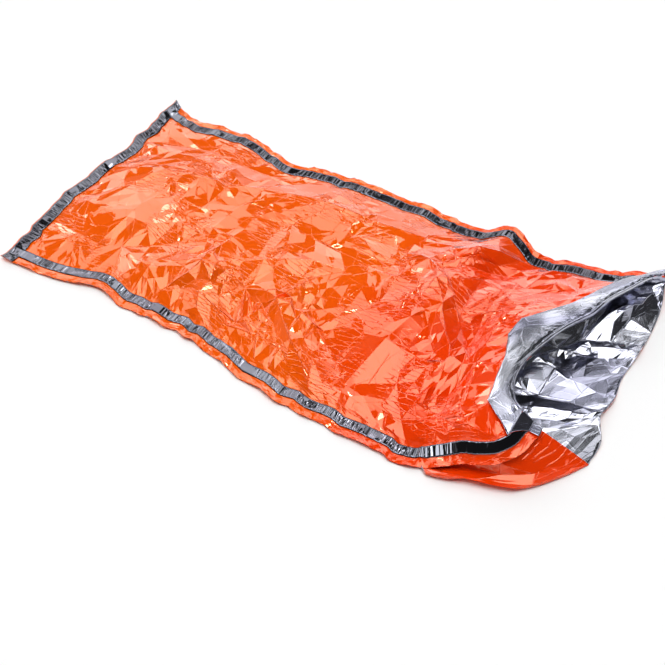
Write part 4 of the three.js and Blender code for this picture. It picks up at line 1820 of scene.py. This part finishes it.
@dataclass(frozen=True)
class Facets:
    """Small facets of film with fine hard creases between them.

    Args:
        size: of a facet, in millimetres.
        width: of a crease, as a share of a facet.
        shift: moves the pattern.
        rise: of a crease, in millimetres.
        strength: of its relief.
    """

    size: float
    width: float
    shift: tuple[float, float, float]
    rise: float
    strength: float

    def creases(self, tree: Tree, where: Socket) -> Socket:
        """Draws the creases.

        Args:
            tree: of the material.
            where: coordinates in metres.

        Returns:
            A height that is 1 on a crease and 0 beside it.
        """
        moved = add_node(tree, "ShaderNodeVectorMath", {0: where, 1: self.shift},
                         operation="ADD").outputs[0]
        cells = add_node(tree, "ShaderNodeTexVoronoi", {
            "Vector": moved, "Scale": per_metre(self.size)},
            feature="DISTANCE_TO_EDGE", voronoi_dimensions="2D")
        return add_node(tree, "ShaderNodeMapRange", {
            "Value": cells.outputs["Distance"], "From Min": 0.0, "From Max": self.width,
            "To Min": 1.0, "To Max": 0.0}).outputs["Result"]


def fold_lines(tree: Tree) -> Socket:
    """Draws the sharp lines of the hard folds.

    Args:
        tree: of the material.

    Returns:
        A height that is 1 on the hardest folds and 0 beside them.
    """
    ridge = add_node(tree, "ShaderNodeAttribute", attribute_name="ridge").outputs["Fac"]
    return add_node(tree, "ShaderNodeMath", {0: ridge, 1: FOLD_FOCUS},
                    operation="POWER").outputs[0]


def relief(tree: Tree, layers: Sequence[tuple[Socket, float, float]]) -> Socket:
    """Raises small relief over the piece's own facets.

    Args:
        tree: of the material.
        layers: of each, a height from 0 to 1, the millimetres that 1 stands for, and a strength.

    Returns:
        The normal with all of them.
    """
    below: dict = {}
    for height, rise, strength in layers:
        inputs = {"Height": height, "Distance": rise * MM, "Strength": strength, **below}
        below = {"Normal": add_node(tree, "ShaderNodeBump", inputs).outputs["Normal"]}
    return below["Normal"]


def blotched(tree: Tree, where: Socket, size: float, dark: str, light: str) -> Socket:
    """Varies a metal's tone a little from place to place.

    Args:
        tree: of the material.
        where: coordinates in metres.
        size: of a blotch, in millimetres.
        dark: sRGB code of the darker tone.
        light: sRGB code of the lighter one.

    Returns:
        The colour.
    """
    noise = add_node(tree, "ShaderNodeTexNoise", {
        "Vector": where, "Scale": per_metre(size), "Detail": 2.0})
    stops = tuple(zip(BLOTCH_EDGES, (colour(dark), colour(light))))
    return add_node(tree, "ShaderNodeValToRGB", {"Fac": noise.outputs["Fac"]},
                    stops).outputs["Color"]


@dataclass(frozen=True)
class OrangeFilm:
    """Polyethylene film, blown thin, dyed orange and metallised on its inner face.

    Args:
        name: of the material.
        foot_tone: colour at the foot.
        middle_tone: past the middle.
        mouth_painted_shade: at the mouth, redder and darker: painted shade and painted orange
            inter-reflection of the folds there.
        gleam_tone: of the reflection of the metal behind the dye.
        roughness: of the dyed film.
        metallic: how much of the metal shows through.
        ior: of the dyed film.
        coat_roughness: of the smooth blown face.
        coat_ior: of the same.
        tone_size: of the tone's blotches, in millimetres.
        tone_stray: by how many metres the tone strays.
        tone_scale: turns that length into a share.
        tone_stops: shares at which the three tones are pure.
        coarse: facets between the folds.
        hatch: long narrow facets that handling leaves in patches.
        hatch_aspect: their length over their width.
        hatch_turn: their turn, in radians.
        patch_size: of the patches, in millimetres.
        patch_edges: values of the noise where one starts and is full.
        fold_rise: of the line along a hard fold, in millimetres.
        fold_strength: of its relief.
    """

    # The metal behind the dye keeps the colour full from every side, and the smooth face mirrors
    # the room in each flat facet, so that the film is either deep orange or nearly white.
    name: str = "dyed_polyethylene_film"
    foot_tone: str = "ff6006"
    middle_tone: str = "fe5f04"
    mouth_painted_shade: str = "f93e02"
    gleam_tone: str = "ffc258"
    roughness: float = 0.03
    metallic: float = 0.08
    ior: float = 1.6
    coat_roughness: float = 0.015
    coat_ior: float = 1.46
    tone_size: float = 384.6
    tone_stray: float = 0.7
    tone_scale: float = 0.4
    tone_stops: tuple[float, float, float] = (0.25, 0.58, 0.74)
    coarse: Facets = Facets(90.91, 0.012, (7.7, 5.39, 0), 0.3, 0.3)
    hatch: Facets = Facets(71.43, 0.08, (0.1571, 0.11, 0), 1.0, 0.8)
    hatch_aspect: float = 5.357
    hatch_turn: float = 0.5
    patch_size: float = 238.1
    patch_edges: tuple[float, float] = (0.5, 0.56)
    # A fold in film this thin is sharper than the render can show, so its line is drawn wider.
    fold_rise: float = 1.1
    fold_strength: float = 0.8

    def tone(self, tree: Tree, cut: Socket) -> Socket:
        """Colours the film from the foot to the mouth, darker and redder at the mouth as painted shade.

        Args:
            tree: of the material.
            cut: coordinates on the flat cut, in metres.

        Returns:
            The colour.
        """
        along = add_node(tree, "ShaderNodeSeparateXYZ", {0: cut}).outputs["X"]
        blotch = add_node(tree, "ShaderNodeTexNoise", {
            "Vector": cut, "Scale": per_metre(self.tone_size), "Detail": 2.0})
        place = add_node(tree, "ShaderNodeMath", {
            0: blotch.outputs["Fac"], 1: self.tone_stray, 2: along},
            operation="MULTIPLY_ADD").outputs[0]
        share = add_node(tree, "ShaderNodeMath", {0: place, 1: self.tone_scale},
                         operation="MULTIPLY").outputs[0]
        # the mouth's tone is painted shade: darker and redder where the folds there shade each other
        # and throw orange light on each other
        tones = (colour(code) for code in (self.foot_tone, self.middle_tone, self.mouth_painted_shade))
        return add_node(tree, "ShaderNodeValToRGB", {"Fac": share},
                        tuple(zip(self.tone_stops, tones))).outputs["Color"]

    def hatching(self, tree: Tree, cut: Socket) -> Socket:
        """Draws the patches of long narrow facets.

        Args:
            tree: of the material.
            cut: coordinates on the flat cut, in metres.

        Returns:
            A height from 0 to 1.
        """
        where = add_node(tree, "ShaderNodeMapping", {
            "Vector": cut, "Rotation": (0, 0, self.hatch_turn),
            "Scale": (1.0, self.hatch_aspect, 1.0)}).outputs[0]
        noise = add_node(tree, "ShaderNodeTexNoise", {
            "Vector": cut, "Scale": per_metre(self.patch_size), "Detail": 1.0})
        start, full = self.patch_edges
        patches = add_node(tree, "ShaderNodeMapRange", {
            "Value": noise.outputs["Fac"], "From Min": start, "From Max": full}).outputs["Result"]
        return add_node(tree, "ShaderNodeMath", {0: self.hatch.creases(tree, where), 1: patches},
                        operation="MULTIPLY").outputs[0]

    def build(self) -> Material:
        """Makes the material.

        Returns:
            The material.
        """
        material, tree, shader = new_material(self.name)
        cut = add_node(tree, "ShaderNodeUVMap", uv_map="cut").outputs["UV"]
        normal = relief(tree, (
            (fold_lines(tree), self.fold_rise, self.fold_strength),
            (self.coarse.creases(tree, cut), self.coarse.rise, self.coarse.strength),
            (self.hatching(tree, cut), self.hatch.rise, self.hatch.strength)))
        fill(tree, shader, {
            "Base Color": self.tone(tree, cut), "Normal": normal, "Coat Normal": normal,
            "Roughness": self.roughness, "Metallic": self.metallic, "IOR": self.ior,
            "Specular Tint": colour(self.gleam_tone), "Coat Weight": 1.0,
            "Coat Roughness": self.coat_roughness, "Coat IOR": self.coat_ior})
        return material


@dataclass(frozen=True)
class SilverFilm:
    """The same film's inner face: aluminium, vapour-deposited in a vacuum.

    Args:
        name: of the material.
        dark_tone: of the metal where it is thin.
        light_tone: where it is thick.
        roughness: of the metal.
        tone_size: of the tone's blotches, in millimetres.
        coarse: facets between the folds.
        fine: smaller facets in them.
        fold_rise: of the line along a hard fold, in millimetres.
        fold_strength: of its relief.
    """

    # A layer this thin has the film's own smoothness and a fine haze over it, so that it mirrors
    # the room softly.
    name: str = "vapour_deposited_aluminium"
    dark_tone: str = "a8a9bd"
    light_tone: str = "c4c6d0"
    roughness: float = 0.2
    tone_size: float = 200.0
    coarse: Facets = Facets(71.43, 0.03, (5.9, 4.13, 0), 0.4, 0.4)
    fine: Facets = Facets(29.41, 0.04, (1.3, 0.91, 0), 0.2, 0.2)
    fold_rise: float = 1.2
    fold_strength: float = 0.9

    def build(self) -> Material:
        """Makes the material.

        Returns:
            The material.
        """
        material, tree, shader = new_material(self.name)
        cut = add_node(tree, "ShaderNodeUVMap", uv_map="cut").outputs["UV"]
        layers = [(fold_lines(tree), self.fold_rise, self.fold_strength)]
        layers += [(facets.creases(tree, cut), facets.rise, facets.strength)
                   for facets in (self.coarse, self.fine)]
        fill(tree, shader, {
            "Base Color": blotched(tree, cut, self.tone_size, self.dark_tone, self.light_tone),
            "Normal": relief(tree, layers), "Roughness": self.roughness, "Metallic": 1.0})
        return material


@dataclass(frozen=True)
class MirrorTape:
    """Metallised polyester tape, welded over the seam and gathered with it.

    Args:
        name: of the material.
        dark_tone: of the metal in the darker stretches.
        light_tone: in the lighter ones.
        roughness: of the metal.
        tone_size: of the tone's blotches, in millimetres.
        pleat_size: width of a pleat and its length across the tape, in millimetres.
        pleat_rise: of the pleats, in millimetres.
        gathered_size: of the stretches with pleats, in millimetres.
        gathered_edges: values of the noise where one starts and is full.
    """

    # The tape is smooth and dark, so that it is black where it mirrors the dark of the room and
    # white on the pleats that face a lamp.
    name: str = "metallised_polyester_tape"
    dark_tone: str = "63616a"
    light_tone: str = "71737c"
    roughness: float = 0.07
    tone_size: float = 111.1
    # The real pleats are about 3 mm wide, which is too fine to show, so they are drawn coarser.
    pleat_size: tuple[float, float] = (8.333, 166.7)
    pleat_rise: float = 2.6
    gathered_size: float = 90.91
    gathered_edges: tuple[float, float] = (0.36, 0.5)

    def pleats(self, tree: Tree) -> Socket:
        """Draws the pleats across the tape.

        Args:
            tree: of the material.

        Returns:
            A height from 0 to 1.
        """
        cut = add_node(tree, "ShaderNodeUVMap", uv_map="cut").outputs["UV"]
        wide, long = self.pleat_size
        where = add_node(tree, "ShaderNodeVectorMath", {0: cut, 1: (1.0, wide / long, 1.0)},
                         operation="MULTIPLY").outputs[0]
        ridges = add_node(tree, "ShaderNodeTexVoronoi", {"Vector": where, "Scale": per_metre(wide)},
                          voronoi_dimensions="2D").outputs["Distance"]
        noise = add_node(tree, "ShaderNodeTexNoise", {
            "Vector": cut, "Scale": per_metre(self.gathered_size), "Detail": 0.0})
        start, full = self.gathered_edges
        gathered = add_node(tree, "ShaderNodeMapRange", {
            "Value": noise.outputs["Fac"], "From Min": start, "From Max": full}).outputs["Result"]
        return add_node(tree, "ShaderNodeMath", {0: ridges, 1: gathered},
                        operation="MULTIPLY").outputs[0]

    def build(self) -> Material:
        """Makes the material.

        Returns:
            The material.
        """
        material, tree, shader = new_material(self.name)
        where = add_node(tree, "ShaderNodeTexCoord").outputs["Object"]
        fill(tree, shader, {
            "Base Color": blotched(tree, where, self.tone_size, self.dark_tone, self.light_tone),
            "Normal": relief(tree, ((self.pleats(tree), self.pleat_rise, 1.0),)),
            "Roughness": self.roughness, "Metallic": 1.0})
        return material


@dataclass(frozen=True)
class PaintedFloor:
    """A board floor, rolled with matt white paint.

    Args:
        name: of the material.
        tone: of the paint.
    """

    # Matt paint has no gloss of its own, so that the floor shows nothing but soft shadows.
    name: str = "matt_white_paint"
    tone: str = "f8f8f8"

    def build(self) -> Material:
        """Makes the material.

        Returns:
            The material.
        """
        material, tree, _ = new_material(self.name)
        paint = add_node(tree, "ShaderNodeBsdfDiffuse", {"Color": colour(self.tone)})
        fill(tree, tree.nodes["Material Output"], {"Surface": paint.outputs[0]})
        return material


@dataclass(frozen=True)
class Softbox:
    """A flat lamp.

    Args:
        name: of the lamp.
        place: where it hangs, in the row frame, in metres.
        aim: what it faces.
        size: its two sides.
        radiance: how bright its face is, where white paper in plain light is 1.
    """

    name: str
    place: tuple[float, float, float]
    aim: tuple[float, float, float]
    size: tuple[float, float]
    radiance: float

    def build(self) -> None:
        """Hangs the lamp."""
        data = bpy.data.lights.new(self.name, "AREA")
        data.shape = "RECTANGLE"
        data.size, data.size_y = self.size
        data.energy = self.radiance * math.pi * self.size[0] * self.size[1]
        lamp = bpy.data.objects.new(self.name, data)
        lamp.location = self.place
        facing = Vector(self.aim) - Vector(self.place)
        lamp.rotation_mode = "QUATERNION"
        lamp.rotation_quaternion = facing.to_track_quat("-Z", "Y")
        bpy.context.scene.collection.objects.link(lamp)


@dataclass(frozen=True)
class Room:
    """The light from all around: pale walls and a dark ceiling with lit panels of many shapes.

    Radiances are such that white paper in plain light is 1. Heights are those of the way that the
    light comes from, where the horizon is 0 and straight up is 1.

    Args:
        wall: radiance of the walls.
        wall_top: heights between which they give way to the ceiling.
        panel_scale: panels to one radius of the room.
        panel_stray: how unevenly they are laid out.
        panel_shift: moves their pattern.
        levels: chance, less the dark way's share, where each radiance starts.
        brightest: radiance that a white panel would have.
        bright_way: the side on which more panels are lit.
        bright_gain: how many more.
        dark_share: how much fewer on the other side.
        overhead: radiance of the panel straight above.
        overhead_from: heights between which it starts.
    """

    wall: float = 0.95
    wall_top: tuple[float, float] = (0.12, 0.2)
    panel_scale: float = 6.5
    panel_stray: float = 0.9
    panel_shift: tuple[float, float, float] = (13.7, 8.3, 5.9)
    levels: tuple[tuple[float, float], ...] = (
        (0.0, 0.04), (0.42, 0.28), (0.57, 2.2), (0.8, 3.0), (0.99, 7.0))
    brightest: float = 8.0
    bright_way: tuple[float, float, float] = (-0.60, 0.50, 0.62)
    bright_gain: float = 1.1
    dark_share: float = 1.0
    overhead: float = 4.0
    overhead_from: tuple[float, float] = (0.89, 0.92)

    def panels(self, tree: Tree, way: Socket) -> Socket:
        """Lights the ceiling's panels.

        Args:
            tree: of the world.
            way: where the light comes from.

        Returns:
            Their radiance.
        """
        moved = add_node(tree, "ShaderNodeVectorMath", {0: way, 1: self.panel_shift},
                         operation="ADD").outputs[0]
        cells = add_node(tree, "ShaderNodeTexVoronoi", {
            "Vector": moved, "Scale": self.panel_scale, "Randomness": self.panel_stray})
        chance = add_node(tree, "ShaderNodeSeparateXYZ", {0: cells.outputs["Color"]}).outputs["X"]
        side = add_node(tree, "ShaderNodeVectorMath", {0: way, 1: self.bright_way},
                        operation="DOT_PRODUCT").outputs["Value"]
        chance = add_node(tree, "ShaderNodeMath", {0: side, 1: self.bright_gain, 2: chance},
                          operation="MULTIPLY_ADD").outputs[0]
        chance = add_node(tree, "ShaderNodeMath", {0: chance, 1: self.dark_share},
                          operation="SUBTRACT").outputs[0]
        greys = [(place, (*[radiance / self.brightest] * 3, 1)) for place, radiance in self.levels]
        grey = add_node(tree, "ShaderNodeValToRGB", {"Fac": chance}, greys)
        grey.color_ramp.interpolation = "CONSTANT"
        return add_node(tree, "ShaderNodeMath", {0: grey.outputs["Color"], 1: self.brightest},
                        operation="MULTIPLY").outputs[0]

    def build(self) -> None:
        """Sets the scene's world."""
        world = bpy.data.worlds.new("room")
        bpy.context.scene.world = world
        world.use_nodes = True
        tree = world.node_tree
        way = add_node(tree, "ShaderNodeTexCoord").outputs["Generated"]
        height = add_node(tree, "ShaderNodeSeparateXYZ", {0: way}).outputs["Z"]
        start, full = self.overhead_from
        overhead = add_node(tree, "ShaderNodeMapRange", {
            "Value": height, "From Min": start, "From Max": full,
            "To Max": self.overhead}).outputs["Result"]
        ceiling = add_node(tree, "ShaderNodeMath", {0: self.panels(tree, way), 1: overhead},
                           operation="MAXIMUM").outputs[0]
        start, full = self.wall_top
        share = add_node(tree, "ShaderNodeMapRange", {
            "Value": height, "From Min": start, "From Max": full}).outputs["Result"]
        total = add_node(tree, "ShaderNodeMix", {0: share, 2: self.wall, 3: ceiling})
        fill(tree, tree.nodes["Background"], {"Color": (1, 1, 1, 1), "Strength": total.outputs[0]})


@dataclass(frozen=True)
class Studio:
    """The floor, the room around it, its lamps and the camera.

    Args:
        floor_size: side of the floor, in metres.
        floor_at: height of the floor, in metres, just under the bag.
        sensor: width of the camera's, in millimetres.
        lens: its focal length, in millimetres.
        place: of the camera in the row frame, in metres.
        pitch: how far it looks down, in degrees.
        heading: its direction on the ground, in degrees from +x.
        softboxes: the lamps.
    """

    floor_size: float = 400.0
    floor_at: float = -0.0012
    sensor: float = 36.0
    lens: float = 59.55
    place: tuple[float, float, float] = (1.26607, -2.19474, 2.546)
    pitch: float = 47.92
    heading: float = 119.56
    softboxes: tuple[Softbox, ...] = (
        Softbox("strip_lamp", (-0.7, 1.6, 3.0), (-0.1, 0.0, 0), (1.0, 0.04), 24.0),
        Softbox("foot_lamp", (-2.84, 2.41, 3.06), (-0.4, 0.0, 0), (0.4, 0.3), 6.0),
        Softbox("key_lamp", (0.3, -0.6, 4.2), (0.0, 0.0, 0), (0.35, 0.35), 14.0))

    def floor(self) -> None:
        """Lays the pale floor."""
        bpy.ops.mesh.primitive_plane_add(size=self.floor_size, location=(0, 0, self.floor_at))
        floor = bpy.context.object
        floor.name = "floor"
        floor.data.materials.append(PaintedFloor().build())

    def camera(self) -> None:
        """Sets up the camera."""
        data = bpy.data.cameras.new("camera")
        data.sensor_width, data.lens = self.sensor, self.lens
        camera = bpy.data.objects.new("camera", data)
        camera.location = self.place
        pitch, heading = math.radians(self.pitch), math.radians(self.heading)
        facing = Vector((math.cos(heading) * math.cos(pitch), math.sin(heading) * math.cos(pitch),
                         -math.sin(pitch)))
        camera.rotation_mode = "QUATERNION"
        camera.rotation_quaternion = facing.to_track_quat("-Z", "Y")
        bpy.context.scene.collection.objects.link(camera)
        bpy.context.scene.camera = camera

    def build(self) -> None:
        """Makes all of it."""
        bpy.context.scene.view_settings.view_transform = "Standard"
        self.camera()
        self.floor()
        Room().build()
        for softbox in self.softboxes:
            softbox.build()


def top_sheet() -> FilmSheet:
    """Describes the top sheet, whose mouth end is turned back.

    Returns:
        The sheet, ready to be built.
    """
    creases = peak_creases(TOP_FOLDS, 31) + fold_creases(TOP_FOLDS) + packing_creases(32, 0.16)
    crumple = Crumple(seed=5, spacing=(165, 85), slopes=(0.042, 0.024, 0.004, 0.0008),
                      mouth_gain=1.4, creases=creases, loose=16)
    return FilmSheet("top_film", "top_panel", TopChart(), crumple, Lie.OUTER_UP)


def under_sheet() -> FilmSheet:
    """Describes the under sheet, with its near wall and the lower lip of the mouth.

    Returns:
        The sheet, ready to be built.
    """
    clear = 25  # of packing folds past the wall
    creases = wall_creases() + fold_creases(UNDER_FOLDS) + packing_creases(
        33, 0.3, first=1600, near=NEAR_WELD + WALL_WIDTH + clear)
    crumple = Crumple(seed=6, spacing=(120, 95), slopes=(0.05, 0.014, 0.004, 0.001),
                      mouth_gain=3.0, creases=creases, wall_calm=0.7, side_fade=25)
    return FilmSheet("under_film", "bottom_panel", UnderChart(), crumple, Lie.OUTER_DOWN)


def main() -> None:
    """Dresses the bag in its studio."""
    Studio().build()
    film = OrangeFilm().build(), SilverFilm().build()
    tape = (MirrorTape().build(),)
    parts = [(top_sheet(), film), (under_sheet(), film)]
    parts += [(SeamTape(edge), tape) for edge in Edge]
    for part, materials in parts:
        piece = part.build(materials)
        part.dress(piece)
        log.info("%s: %d facets", piece.name, len(piece.data.polygons))


if __name__ == "__main__":
    main()
